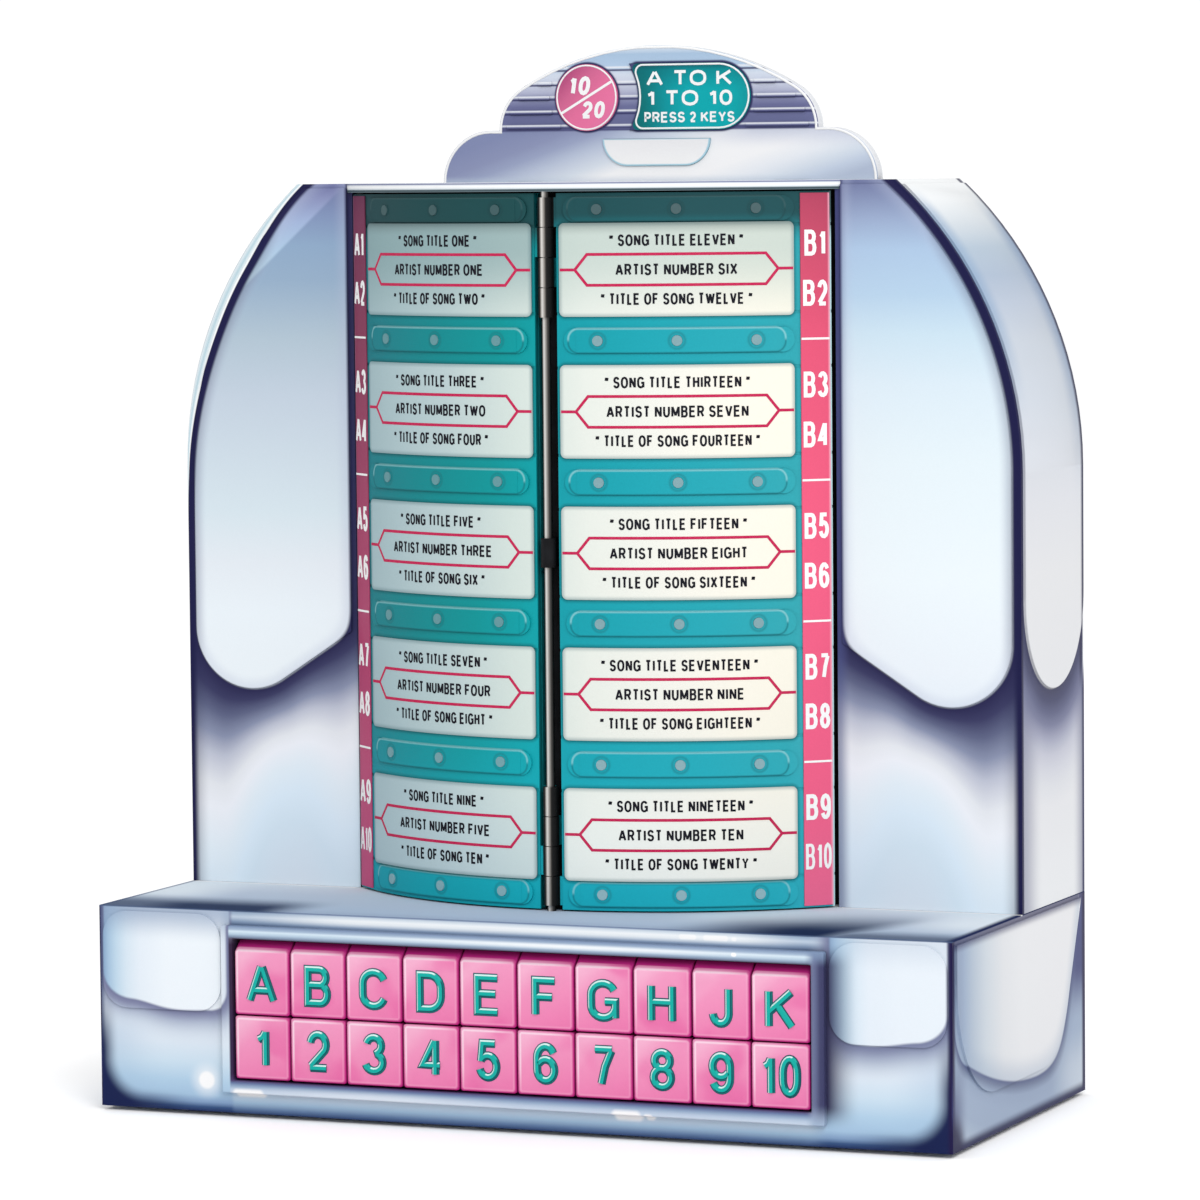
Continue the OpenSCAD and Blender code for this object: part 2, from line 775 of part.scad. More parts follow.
// Cabinet: front cheeks, arched sides and flat top, open at the rear and below
module cabinet_shell() {
  color("lavender") {
    difference() {
      union() {
        along_y(body_y, rear_y) body_outline(0, base_h, body_top);
        along_y(body_y - relief, body_y + wall / 2) cheek_panels();
        intersection() {
          along_x(-hw - relief, hw + relief) side_panel();
          along_y(body_y, rear_y) body_outline(-relief, base_h, body_top);
        }
      }
      along_y(body_y + wall, rear_y + cut) body_outline(wall, base_h - cut, body_top - wall);
      along_y(body_y - relief - cut, body_y + wall + cut)
        rect(-bay_half, bay_half, base_h - cut, body_top - wall);
      along_z(body_top - wall - cut, body_top + cut) {
        chute_section(pin_fit);
        both_sides() crest_tab(panel_fit);
      }
    }
    both_sides() {
      along_z(base_h, body_top - wall / 2)
        rect(bay_half, bay_half + wall, body_y + wall / 2, body_y + jamb_d);
      along_z(base_h, base_h + wall) rect(hw - wall - flange_w, hw - wall / 2, body_y + wall / 2, cover_y);
      for (spot = boss_spots) difference() {
        pin_y(spot.x, cover_y - boss_l, spot.y, boss_d, boss_l);
        pin_y(spot.x, cover_y - boss_l - cut, spot.y, screw_d + 2 * pin_fit, boss_l + 2 * cut);
      }
    }
  }
}

// Visor over the pages, with a tongue under the cabinet top
module top_visor() {
  color("white") difference() {
    union() {
      along_z(body_top - visor_t, body_top) intersection() {
        translate([0, page_cy]) circle(r = page_r + visor_over);
        rect(-hw, hw, spine_y - 2 * visor_over, body_y);
      }
      along_z(body_top - visor_t, body_top - wall)
        rect(-bay_half + panel_fit, bay_half - panel_fit, body_y - cut, body_y + tongue_d);
    }
    translate([0, rod_y, body_top - visor_t - cut])
      cylinder(d = rod_d + 2 * pin_fit, h = rod_seat + pin_fit + cut);
  }
}

// Arc plate in plan between two radii and two angles from the spine
module ring_sector(r0, r1, a0, a1) {
  far = 2 * page_r;
  translate([0, page_cy]) intersection() {
    difference() {
      circle(r = r1);
      circle(r = r0);
    }
    polygon([[0, 0], far * [sin(a0), -cos(a0)], far * [sin(a1), -cos(a1)]]);
  }
}

function page_angle(s) = s / page_r * 180 / PI;
function ridge_z(i) =
  i == 0 ? page_z0 + ridge_end :
  i == ridge_count - 1 ? page_z1 - ridge_end :
  page_mid_z + (i - (ridge_count - 1) / 2) * card_pitch;
function card_z(i) = page_mid_z + (i - (card_count - 1) / 2) * card_pitch;
function rivet_s(i) = card_s + card_w * (2 * i + 1) / (2 * rivet_count);

// Rectangle that runs out from the middle to one side
module side_rect(side, w, y0, y1) rect(min(0, side * w), max(0, side * w), y0, y1);

// Hinge eye around the rod, with a web back to a plate that lies at a depth
module knuckle(side, z, depth, thick) {
  translate([0, rod_y, z]) cylinder(d = knuckle_d, h = knuckle_h);
  along_z(z, z + knuckle_h) {
    side_rect(side, web_w, rod_y, spine_y + depth + thick);
    side_rect(side, spine_half + web_lap, spine_y + depth + web_sink, spine_y + depth + thick);
  }
}

// One page: an arc plate on two knuckles, in its own level of the stack
module page(side, depth, thick, level) {
  eyes = [
    page_z0 + knuckle_margin + level * knuckle_step,
    page_z1 - knuckle_margin - level * knuckle_step - knuckle_h
  ];
  difference() {
    union() {
      along_z(page_z0, page_z1)
        ring_sector(page_r - depth - thick, page_r - depth, side * spine_a, side * edge_a);
      for (z = eyes) knuckle(side, z, depth, thick);
    }
    for (z = eyes) translate([0, rod_y, z - cut]) cylinder(d = rod_d + 2 * rod_play, h = knuckle_h + 2 * cut);
  }
}

// Patch on the page cylinder between two places along the page and two heights
module page_patch(side, r0, r1, s0, s1, z0, z1)
  along_z(z0, z1) ring_sector(r0, r1, side * page_angle(s0), side * page_angle(s1));

// Pin square to the page at a place along it, between two radii
module page_pin(side, s, z, d, r0, r1)
  translate([0, page_cy, z]) rotate([0, 0, side * page_angle(s)]) pin_y(0, -r1, 0, d, r1 - r0);

// Raised bars with round ends above and below the cards
module ridges(side) {
  r0 = page_r - page_t / 2;
  r1 = page_r + ridge_t;
  half = ridge_h / 2;
  s0 = card_s + ridge_inset + half;
  s1 = card_s + card_w - half;
  for (i = [0 : ridge_count - 1]) {
    page_patch(side, r0, r1, s0, s1, ridge_z(i) - half + ridge_lip, ridge_z(i) + half - ridge_lip);
    for (s = [s0, s1]) page_pin(side, s, ridge_z(i), ridge_h, r0, r1 - ridge_drop);
  }
}

module rivet_pins(side, d, proud, l) {
  for (i = [0 : ridge_count - 1], j = [0 : rivet_count - 1])
    page_pin(side, rivet_s(j), ridge_z(i), d, page_r + ridge_t - l, page_r + ridge_t + proud);
}

// Shallow grooves across the page, hidden behind the upper and lower card edges
module card_grooves(side) {
  near = card_h / 2 - groove_inset - groove_h;
  for (i = [0 : card_count - 1], z = [card_z(i) - near - groove_h, card_z(i) + near])
    page_patch(side, page_r - groove_d, page_r + cut, spine_half - cut, page_s + cut, z, z + groove_h);
}

module outer_page(side, level) {
  difference() {
    union() {
      page(side, 0, page_t, level);
      ridges(side);
    }
    rivet_pins(side, rivet_d + 2 * pin_fit, cut, rivet_l + pin_fit);
    card_grooves(side);
  }
}

module right_page() color("teal") outer_page(RIGHT, 0);

module left_page() color("teal") outer_page(LEFT, 1);

module right_inner_page() color("darkcyan") page(RIGHT, inner_depth, inner_t, 2);

module left_inner_page() color("darkcyan") page(LEFT, inner_depth, inner_t, 3);

module title_cards(side) {
  r0 = page_r + face_fit;
  for (i = [0 : card_count - 1])
    page_patch(
      side, r0, r0 + card_t, card_s, card_s + card_w,
      card_z(i) - card_h / 2, card_z(i) + card_h / 2
    );
}

module right_title_cards() color("ivory") title_cards(RIGHT);

module left_title_cards() color("ivory") title_cards(LEFT);

module index_strip(side) {
  r0 = page_r + face_fit;
  page_patch(side, r0, r0 + card_t, index_s, index_s + index_w, page_z0 + page_gap, page_z1 - page_gap);
}

module right_index_strip() color("hotpink") index_strip(RIGHT);

module left_index_strip() color("hotpink") index_strip(LEFT);

module right_page_rivets() color("silver") rivet_pins(RIGHT, rivet_d, rivet_proud, rivet_l);

module left_page_rivets() color("silver") rivet_pins(LEFT, rivet_d, rivet_proud, rivet_l);

// Fixed drum behind the pages, with the middle eye that holds the rod
module page_drum() {
  eye_z = page_mid_z - knuckle_h / 2;
  color("black") difference() {
    union() {
      along_z(base_h, body_top - visor_t)
        ring_sector(page_r - drum_depth - drum_t, page_r - drum_depth, -drum_a, drum_a);
      translate([0, rod_y, eye_z]) cylinder(d = knuckle_d, h = knuckle_h);
      along_z(eye_z, eye_z + knuckle_h)
        rect(-web_w / 2, web_w / 2, rod_y, spine_y + drum_depth + drum_t / 2);
    }
    translate([0, rod_y, eye_z - cut]) cylinder(d = rod_d + 2 * pin_fit, h = knuckle_h + 2 * cut);
  }
}

module page_rod() {
  color("silver") translate([0, rod_y, base_h - wall])
    cylinder(d = rod_d, h = body_top - visor_t + rod_seat - base_h + wall);
}

// Crest outline: a tier with round shoulders under a three-arc dome, drawn in by inset
module crest_outline(inset) {
  both_sides() {
    rect(0, tier_half - crest_step, body_top + inset, tier_z - inset);
    intersection() {
      translate([tier_half - crest_step, body_top]) circle(r = crest_step - inset);
      rect(0, tier_half, body_top + inset, tier_z);
    }
    intersection() {
      translate([0, tier_z - dome_k]) circle(r = dome_r - inset);
      rect(0, dome_tan_x, tier_z - inset - cut / 2, tier_z + dome_h);
    }
    intersection() {
      translate([dome_end_x, tier_z]) circle(r = dome_end_r - inset);
      rect(0, dome_half, tier_z - inset - cut / 2, tier_z + dome_h);
    }
  }
}

// Half width of the dome at a height above the tier
function dome_x(h) =
  h > dome_tan_x * dome_k / dome_end_x - dome_k
    ? sqrt(pow(dome_r, 2) - pow(h + dome_k, 2))
    : dome_end_x + sqrt(pow(dome_end_r, 2) - pow(h, 2));

module sign_outline(grow) {
  end_r = sign_h / 2;
  difference() {
    union() {
      rect(-disc_x, sign_x1 - end_r, emblem_z - end_r - grow, emblem_z + end_r + grow);
      translate([sign_x1 - end_r, emblem_z]) circle(r = end_r + grow);
    }
    translate([-disc_x, emblem_z]) circle(r = sign_hollow_r - grow);
  }
}

module window_outline(grow) {
  top = body_top + window_z + window_h;
  half = window_w / 2 - window_h;
  rect(-half, half, top - window_h - grow, top + grow);
  intersection() {
    for (x = [-half, half]) translate([x, top]) circle(r = window_h + grow);
    rect(-window_w, window_w, body_top, top + grow);
  }
}

// Raised bars left and right of the emblem
module crest_fins() {
  for (i = [0 : fin_count - 1]) {
    h = emblem_z - tier_z + (i - (fin_count - 1) / 2) * fin_pitch;
    end = dome_x(h + fin_h / 2) - fin_margin;
    sign_end = sign_x1 - sign_h / 2 + sqrt(pow(sign_h / 2 + fin_gap, 2) - pow(h - emblem_z + tier_z, 2));
    disc_end = disc_x + sqrt(pow(disc_d / 2 + fin_gap, 2) - pow(h - emblem_z + tier_z, 2));
    if (end > sign_end + fin_h) rect(sign_end, end, tier_z + h - fin_h / 2, tier_z + h + fin_h / 2);
    if (end > disc_end + fin_h) rect(-end, -disc_end, tier_z + h - fin_h / 2, tier_z + h + fin_h / 2);
  }
}

module crest_tab(grow)
  rect(tab_x - tab_w / 2 - grow, tab_x + tab_w / 2 + grow, crest_y - grow, crest_y + tab_t + grow);

module crest_shell() {
  color("aliceblue") {
    difference() {
      along_y(crest_y, crest_back_y) crest_outline(0);
      along_y(crest_y + crest_face_t, rear_y) crest_outline(crest_back_t);
      along_y(crest_y - cut, crest_y + inlay_d) {
        translate([-disc_x, emblem_z]) circle(d = disc_d + 2 * inlay_fit);
        sign_outline(inlay_fit);
        window_outline(inlay_fit);
      }
    }
    along_y(crest_y - relief, crest_y + crest_face_t / 2) crest_fins();
    along_z(body_top - tab_l, body_top + crest_back_t / 2) both_sides() crest_tab(0);
  }
}

module crest_back() color("lightsteelblue") along_y(crest_back_y, rear_y) crest_outline(0);

module price_disc() color("hotpink") pin_y(-disc_x, crest_y + inlay_d - inlay_t, emblem_z, disc_d, inlay_t);

module sign_panel() color("teal") along_y(crest_y + inlay_d - inlay_t, crest_y + inlay_d) sign_outline(0);

module crest_window()
  color("white") along_y(crest_y + inlay_d - inlay_t, crest_y + inlay_d) window_outline(0);

module chute_section(grow) {
  half_w = coin_w / 2 + chute_wall + grow;
  half_d = coin_gap / 2 + chute_wall + grow;
  rect(coin_x - half_w, coin_x + half_w, coin_y - half_d, coin_y + half_d);
}

// Straight chute from the slot in the cabinet top down into the coin box
module coin_chute() {
  top = body_top - wall;
  color("silver") difference() {
    union() {
      along_z(base_h + box_h - chute_drop, body_top) chute_section(0);
      along_z(top - chute_flange_t, top) chute_section(chute_flange);
    }
    along_z(base_h + box_h - chute_drop - cut, body_top + cut) chute_section(-chute_wall);
  }
}

module coin_box() {
  color("slategray") difference() {
    along_z(base_h, base_h + box_h) rect(box_x0, box_x0 + box_w, box_y0, box_y0 + box_d);
    along_z(base_h + box_wall, base_h + box_h + cut) rect(
      box_x0 + box_wall, box_x0 + box_w - box_wall,
      box_y0 + box_wall, box_y0 + box_d - box_wall
    );
  }
}

// Slots that follow the circle of a speaker cone
module grille() {
  r = cone_r;
  for (i = [0 : grille_count - 1]) {
    z = (i - (grille_count - 1) / 2) * grille_pitch;
    half = abs(z) < r ? sqrt(r * r - z * z) : 0;
    if (half > grille_h) pill(-half, half, z - grille_h / 2, z + grille_h / 2);
  }
}

module rear_cover() {
  color("gray") difference() {
    along_y(cover_y, rear_y) body_outline(wall + panel_fit, base_h + panel_fit, body_top - wall - panel_fit);
    along_y(cover_y - cut, rear_y + cut) both_sides() {
      translate([speaker_x, speaker_z]) grille();
      for (spot = boss_spots) translate(spot) circle(d = screw_d + 2 * panel_fit);
    }
  }
}

module rear_screws() {
  color("silver") both_sides() for (spot = boss_spots) {
    pin_y(spot.x, rear_y, spot.y, screw_head_d, screw_head_h);
    pin_y(spot.x, cover_y - screw_bite + cut, spot.y, screw_d, screw_bite + cover_t);
  }
}

// Turn a profile of (radius, depth) about each speaker axis, depth running forward
module at_speakers() {
  for (x = [-speaker_x, speaker_x])
    translate([x, cover_y, speaker_z]) rotate([90, 0, 0]) children();
}

module speaker_frames() {
  r = speaker_d / 2;
  neck = magnet_d / 2 + neck_margin;
  back = speaker_depth - basket_wall;
  color("dimgray") at_speakers() rotate_extrude() polygon([
    [cone_r, 0], [r, 0], [r, flange_t], [r - basket_inset, flange_t], [neck, back], [neck, speaker_depth],
    [pole_r, speaker_depth], [pole_r, back], [neck - basket_wall, back], [cone_r, flange_t]
  ]);
}

module speaker_cones() {
  r = cone_r - panel_fit;
  cap = cone_deep - cone_cap_rise;
  color("saddlebrown") at_speakers() rotate_extrude() polygon([
    [0, cap], [cone_cap_r, cone_deep], [r, cone_lip],
    [r, cone_lip + cone_t], [cone_cap_r, cone_deep + cone_t], [0, cap + cone_t]
  ]);
}

module speaker_magnets() {
  color("darkgray") at_speakers() translate([0, 0, speaker_depth]) cylinder(d = magnet_d, h = magnet_h);
}

module amplifier_board() {
  z = plate_top + amp_lift;
  color("darkgreen") {
    along_z(z, z + board_t) rect(amp_x0, amp_x0 + amp_w, amp_y0, amp_y0 + amp_d);
    for (i = [0 : sink_fins - 1]) translate([amp_x0 + sink_x + i * sink_pitch, amp_y0, 0])
      along_z(z + board_t / 2, z + sink_h) rect(0, sink_fin_t, sink_front, amp_d - sink_rear);
    for (i = [0 : can_count - 1]) translate([amp_x0 + can_x + i * can_pitch, amp_y0 + can_y, z + board_t / 2])
      cylinder(d = can_d, h = can_h);
  }
}

module transformer() {
  color("darkslategray") translate([transformer_x, transformer_y, plate_top]) {
    translate([-core_w / 2, -core_d / 2, 0]) cube([core_w, core_d, core_h]);
    translate([coil_inset - core_w / 2, -core_d / 2 - coil_proud, coil_lift])
      cube([core_w - 2 * coil_inset, core_d + 2 * coil_proud, core_h - 2 * coil_lift]);
    translate([-core_w / 2 - lug_w, -core_d / 2, 0]) cube([core_w + 2 * lug_w, core_d, lug_t]);
  }
}

// Grommet in the base rear that a supply cord passes through
module cord_gland() {
  color("black") difference() {
    union() {
      pin_y(gland_x, rear_y - wall - gland_flange, gland_z, gland_d, gland_l);
      pin_y(gland_x, rear_y, gland_z, gland_d + 2 * gland_flange, rear_proud);
    }
    pin_y(gland_x, rear_y - wall - gland_flange - cut, gland_z, gland_bore, gland_l + 2 * cut);
  }
}

module volume_pot() {
  color("dimgray") translate([wheel_x, wheel_y, plate_top]) {
    cylinder(d = pot_d, h = wheel_z - panel_fit - plate_top);
    cylinder(d = shaft_d, h = wheel_z + wheel_t + shaft_over - plate_top);
  }
}

module volume_wheel() {
  color("black") translate([wheel_x, wheel_y, wheel_z]) difference() {
    cylinder(d = wheel_d, h = wheel_t);
    translate([0, 0, -cut]) cylinder(d = shaft_d + 2 * shaft_play, h = wheel_t + 2 * cut);
  }
}

base_shell();
bottom_plate();
rubber_feet();
base_screws();
key_bezel();
key_guide();
for (col = [0 : key_cols - 1]) {
  key(col, 1);
  key(col, 0);
}
key_springs();
switch_board();
key_switches();
cabinet_shell();
top_visor();
page_drum();
page_rod();
left_page();
right_page();
left_inner_page();
right_inner_page();
left_title_cards();
right_title_cards();
left_index_strip();
right_index_strip();
left_page_rivets();
right_page_rivets();
crest_shell();
crest_back();
price_disc();
sign_panel();
crest_window();
coin_chute();
coin_box();
rear_cover();
rear_screws();
speaker_frames();
speaker_cones();
speaker_magnets();
amplifier_board();
transformer();
cord_gland();
volume_pot();
volume_wheel();
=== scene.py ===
import math

import bmesh
import bpy
from mathutils import Matrix, Vector


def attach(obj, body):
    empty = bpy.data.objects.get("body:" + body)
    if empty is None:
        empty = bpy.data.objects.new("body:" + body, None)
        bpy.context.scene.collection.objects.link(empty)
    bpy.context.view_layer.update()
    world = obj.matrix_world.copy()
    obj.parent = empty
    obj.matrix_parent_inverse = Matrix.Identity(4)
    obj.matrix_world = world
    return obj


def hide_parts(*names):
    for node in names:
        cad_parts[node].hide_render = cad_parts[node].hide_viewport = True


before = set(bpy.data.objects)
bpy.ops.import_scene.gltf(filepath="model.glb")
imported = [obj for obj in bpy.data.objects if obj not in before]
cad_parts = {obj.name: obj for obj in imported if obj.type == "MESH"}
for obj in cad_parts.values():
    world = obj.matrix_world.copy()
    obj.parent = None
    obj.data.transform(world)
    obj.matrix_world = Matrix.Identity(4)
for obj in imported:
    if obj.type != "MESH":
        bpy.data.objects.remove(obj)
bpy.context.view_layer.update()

MM = 0.001

# Sizes of the part in millimetres, in its own frame
HALF_W = 152.5
BASE_FOOT = 1.5
BASE_TOP = 70.0
FRONT_Y = -69.5
REAR_Y = 70.5
BODY_Y = 2.5
BODY_TOP = 313.0
BODY_MID_Y = (BODY_Y + REAR_Y) / 2
SHOULDER_Z = 216.0
TOP_HALF = 109.0
ARC_DROP = HALF_W - TOP_HALF
ARC_R = (ARC_DROP ** 2 + (BODY_TOP - SHOULDER_Z) ** 2) / (2 * ARC_DROP)
BAY_HALF = 88.0
LOBE_INSET = 3.0
LOBE_R = 21.3
LOBE_FOOT = 138.2
LOBE_SLOPE = math.radians(33)
SIDE_R = 31.5
SIDE_FOOT = 142.5
FRONT_PAD_FOOT = 35.3
FRONT_PAD_OUTER = 151.0
LEFT_PAD_END = 103.6
RIGHT_PAD_START = 110.8
OPENING_HALF = 103.4
OPENING_Z = (13.0, 60.9)
SPEAKER_X = 74.0
SPEAKER_Z = 205.0

KEY_SHIFT = 2.0
KEY_PITCH = 20.6
KEY_HALF_W = 10.05
KEY_HALF_H = 10.65
KEY_FACE_Y = -71.9
KEY_FACE_RUN = 1.2
KEY_TOP_SLOPE = 1.2
KEY_BEVEL = 0.7
NUMBER_Z = 24.3
LETTER_Z = 46.1
LETTERS = "ABCDEFGHJK"

PAGE_R = 118.78
PAGE_AXIS_Y = 82.28
PAGE_MID_Z = 190.0
PAGE_EDGE_S = 97.6
ROD_Y = -36.1
CARD_COUNT = 5
CARD_PITCH = 47.0
CARD_S = (5.0, 84.0)
CARD_HALF_H = 15.5
CARD_CORNER = 1.9
CARD_LIFT = 0.5
CARD_T = 0.4
CARD_STEPS = 18
INDEX_S = (86.3, 96.8)
RIDGE_Z = (76.0, 119.5, 166.5, 213.5, 260.5, 304.0)
RIDGE_H = 8.3
RIDGE_HALF_W = 36.5
RIVET_S = (18.2, 44.5, 70.9)

TIER_Z = 331.0
TIER_CORNER = (63.0, 18.0)
DOME_END = (42.4, 17.0)
DOME_ARC = (262.1, 97.9)
DOME_TANGENT = 58.4
CREST_Y = 64.5
INLAY_Y = 63.7
EMBLEM_Z = 342.2
DISC_X = -26.0
DISC_R = 11.6
SIGN_END_X = 23.5
SIGN_R = 11.5
SIGN_HOLLOW_R = 19.7
SIGN_CORNER = 3.0
FIN_PITCH = 5.0
WINDOW_TOP = 327.6
WINDOW_R = 9.3
WINDOW_FLAT = 10.7

# Shares of the light that the whitest paint and the floor send back, and the floor's reach in metres
WHITE_LEVEL = 0.72
FLOOR_WHITE = 0.97
FLOOR_REACH = 9.0

# Camera: where it stands and looks, in millimetres, with its lens on a 36 mm sensor
EYE = (751.1, -1822.0, 316.2)
TARGET = (7.44, -9.5, 172.456)
ROLL = math.radians(-0.521)
LENS = 174.917

# Studio: strength of the surroundings, and the light's place and aim in metres, size and power
SURROUNDINGS = 1.05
LIGHT_SPOT = Vector((1.3, -1.9, 1.5))
LIGHT_AIM = Vector((0, 0, 0.17))
LIGHT_SIZE = 1.2
LIGHT_POWER = 34


def add_camera():
    """Camera at the photograph's viewing angle."""
    eye = Vector(EYE) * MM
    back = (eye - Vector(TARGET) * MM).normalized()
    right = Vector((0, 0, 1)).cross(back).normalized()
    up = back.cross(right)
    rolled_right = math.cos(ROLL) * right + math.sin(ROLL) * up
    rolled_up = back.cross(rolled_right)
    turn = Matrix((rolled_right, rolled_up, back)).transposed()
    camera = bpy.data.objects.new("camera", bpy.data.cameras.new("camera"))
    camera.data.lens = LENS
    camera.data.sensor_width = 36
    camera.data.clip_end = 20
    camera.matrix_world = Matrix.Translation(eye) @ turn.to_4x4()
    bpy.context.scene.collection.objects.link(camera)
    bpy.context.scene.camera = camera


def add_studio():
    """Even white surroundings with one soft square light from the front right."""
    world = bpy.data.worlds.new("studio")
    world.use_nodes = True
    world.node_tree.nodes["Background"].inputs["Color"].default_value = (1, 1, 1, 1)
    world.node_tree.nodes["Background"].inputs["Strength"].default_value = SURROUNDINGS
    scene = bpy.context.scene
    scene.world = world
    scene.view_settings.view_transform = "Standard"
    data = bpy.data.lights.new("key", "AREA")
    data.size = LIGHT_SIZE
    data.energy = LIGHT_POWER
    light = bpy.data.objects.new("key", data)
    turn = (LIGHT_AIM - LIGHT_SPOT).to_track_quat("-Z", "Y").to_matrix()
    light.matrix_world = Matrix.Translation(LIGHT_SPOT) @ turn.to_4x4()
    scene.collection.objects.link(light)


def linear(colour):
    """Paint colour whose lit face shows as a hex display colour."""
    shares = [int(colour[i:i + 2], 16) / 255 for i in (0, 2, 4)]
    values = [s / 12.92 if s <= 0.04045 else ((s + 0.055) / 1.055) ** 2.4 for s in shares]
    return tuple(WHITE_LEVEL * v for v in values) + (1.0,)


class Num:
    """A number that varies over a surface. Arithmetic on it adds shader nodes."""

    def __init__(self, paint, socket):
        self.paint = paint
        self.socket = socket

    def __add__(self, other):
        return self.paint.math("ADD", self, other)

    __radd__ = __add__

    def __sub__(self, other):
        return self.paint.math("SUBTRACT", self, other)

    def __rsub__(self, other):
        return self.paint.math("SUBTRACT", other, self)

    def __mul__(self, other):
        return self.paint.math("MULTIPLY", self, other)

    __rmul__ = __mul__

    def __truediv__(self, other):
        return self.paint.math("DIVIDE", self, other)

    def __abs__(self):
        return self.paint.math("ABSOLUTE", self)


class Paint:
    """One procedural material. Lengths in it are millimetres in the part's own frame."""

    def __init__(self, name):
        self.material = bpy.data.materials.new(name)
        self.material.use_nodes = True
        self.nodes = self.material.node_tree.nodes
        self.links = self.material.node_tree.links
        self.shader = self.nodes["Principled BSDF"]
        self.coordinates = self.nodes.new("ShaderNodeTexCoord")
        self.point = self.scaled(self.coordinates.outputs["Object"], 1 / MM)
        split = self.nodes.new("ShaderNodeSeparateXYZ")
        self.links.new(self.point, split.inputs[0])
        self.x, self.y, self.z = (Num(self, socket) for socket in split.outputs)

    def scaled(self, vector, scale):
        """A vector or colour times a number."""
        node = self.nodes.new("ShaderNodeVectorMath")
        node.operation = "SCALE"
        self.links.new(vector, node.inputs[0])
        self.plug(node.inputs["Scale"], scale)
        return node.outputs[0]

    def facing(self, direction):
        """How far a surface faces a direction of the part's frame, from -1 to 1."""
        node = self.nodes.new("ShaderNodeVectorMath")
        node.operation = "DOT_PRODUCT"
        self.links.new(self.coordinates.outputs["Normal"], node.inputs[0])
        node.inputs[1].default_value = Vector(direction).normalized()
        return Num(self, node.outputs["Value"])

    def plug(self, socket, value):
        """Links a varying value to a socket, or sets a constant on it."""
        if isinstance(value, Num):
            self.links.new(value.socket, socket)
        elif isinstance(value, bpy.types.NodeSocket):
            self.links.new(value, socket)
        elif isinstance(value, str):
            socket.default_value = linear(value)
        else:
            socket.default_value = value

    def math(self, kind, *values):
        """One math node on numbers."""
        node = self.nodes.new("ShaderNodeMath")
        node.operation = kind
        for socket, value in zip(node.inputs, values):
            self.plug(socket, value)
        return Num(self, node.outputs[0])

    def low(self, first, *rest):
        """The least of some numbers."""
        for value in rest:
            first = self.math("MINIMUM", first, value)
        return first

    def high(self, first, second):
        """The greater of two numbers."""
        return self.math("MAXIMUM", first, second)

    def soft_low(self, first, second, blend):
        """The lesser of two numbers, eased where they are close."""
        return self.math("SMOOTH_MIN", first, second, blend)

    def hypot(self, first, second):
        """Length of the long side of a right angle."""
        return self.math("SQRT", first * first + second * second)

    def smooth(self, value, start, end):
        """0 at start, 1 at end, eased between. Start may be the larger."""
        node = self.nodes.new("ShaderNodeMapRange")
        node.interpolation_type = "SMOOTHSTEP"
        self.plug(node.inputs["Value"], value)
        node.inputs["From Min"].default_value = start
        node.inputs["From Max"].default_value = end
        return Num(self, node.outputs["Result"])

    def peak(self, value, middle, reach):
        """1 at the middle, eased to 0 at the reach on both sides."""
        return self.smooth(abs(value - middle), reach, 0)

    def nearest(self, value, spots):
        """Distance to the nearest of some spots."""
        return self.low(*[abs(value - spot) for spot in spots])

    def ramp(self, value, stops):
        """Colour along a value. Stops are a value and a hex colour each, in rising order."""
        pairs = [stop.split() for stop in stops.split(",")]
        spots = [float(spot) for spot, _ in pairs]
        span = spots[-1] - spots[0]
        node = self.nodes.new("ShaderNodeValToRGB")
        elements = node.color_ramp.elements
        while len(elements) < len(spots):
            elements.new(1.0)
        for element, spot, (_, colour) in zip(elements, spots, pairs):
            element.position = (spot - spots[0]) / span
            element.color = linear(colour)
        self.plug(node.inputs["Fac"], (value - spots[0]) / span)
        return node.outputs["Color"]

    def mix(self, factor, under, over):
        """One colour laid over another by a factor."""
        node = self.nodes.new("ShaderNodeMix")
        node.data_type = "RGBA"
        node.clamp_factor = True
        self.plug(node.inputs["Factor"], factor)
        self.plug(node.inputs["A"], under)
        self.plug(node.inputs["B"], over)
        return node.outputs["Result"]

    def coats(self, colour, *layers):
        """A colour under layers, laid in turn, each a factor and a colour."""
        for factor, layer in layers:
            colour = self.mix(factor, colour, layer)
        return colour

    def noise(self, grain, detail=3.0):
        """Even noise from 0 to 1, with features of the grain's size."""
        node = self.nodes.new("ShaderNodeTexNoise")
        self.links.new(self.point, node.inputs["Vector"])
        node.inputs["Scale"].default_value = 1 / grain
        node.inputs["Detail"].default_value = detail
        return Num(self, node.outputs["Fac"])

    def meet(self, first, second, radius):
        """Distance inside two edges that meet in a round corner."""
        return radius - self.hypot(self.high(radius - first, 0.0), self.high(radius - second, 0.0))

    def rounded(self, across, up, half_w, half_h, radius):
        """Distance inside a rounded rectangle, from distances to its middle."""
        return self.meet(half_w - abs(across), half_h - abs(up), radius)

    def finish(self, colour, rough=(0.4, 0.5), metal=0.0, specular=0.12, grain=0.5, tint=0.02, relief=0.004):
        """Joins a colour with fine grain in its tone, roughness and height, and returns the material."""
        fine = self.noise(grain)
        toned = self.scaled(colour, 1 - tint + fine * (2 * tint))
        self.links.new(toned, self.shader.inputs["Base Color"])
        self.plug(self.shader.inputs["Roughness"], rough[0] + fine * (rough[1] - rough[0]))
        self.shader.inputs["Metallic"].default_value = metal
        self.plug(self.shader.inputs["Specular IOR Level"], specular)
        bump = self.nodes.new("ShaderNodeBump")
        bump.inputs["Distance"].default_value = relief * MM
        self.plug(bump.inputs["Height"], fine)
        self.links.new(bump.outputs["Normal"], self.shader.inputs["Normal"])
        return self.material


NAVY = "1b1b46"
WHITE = "ffffff"


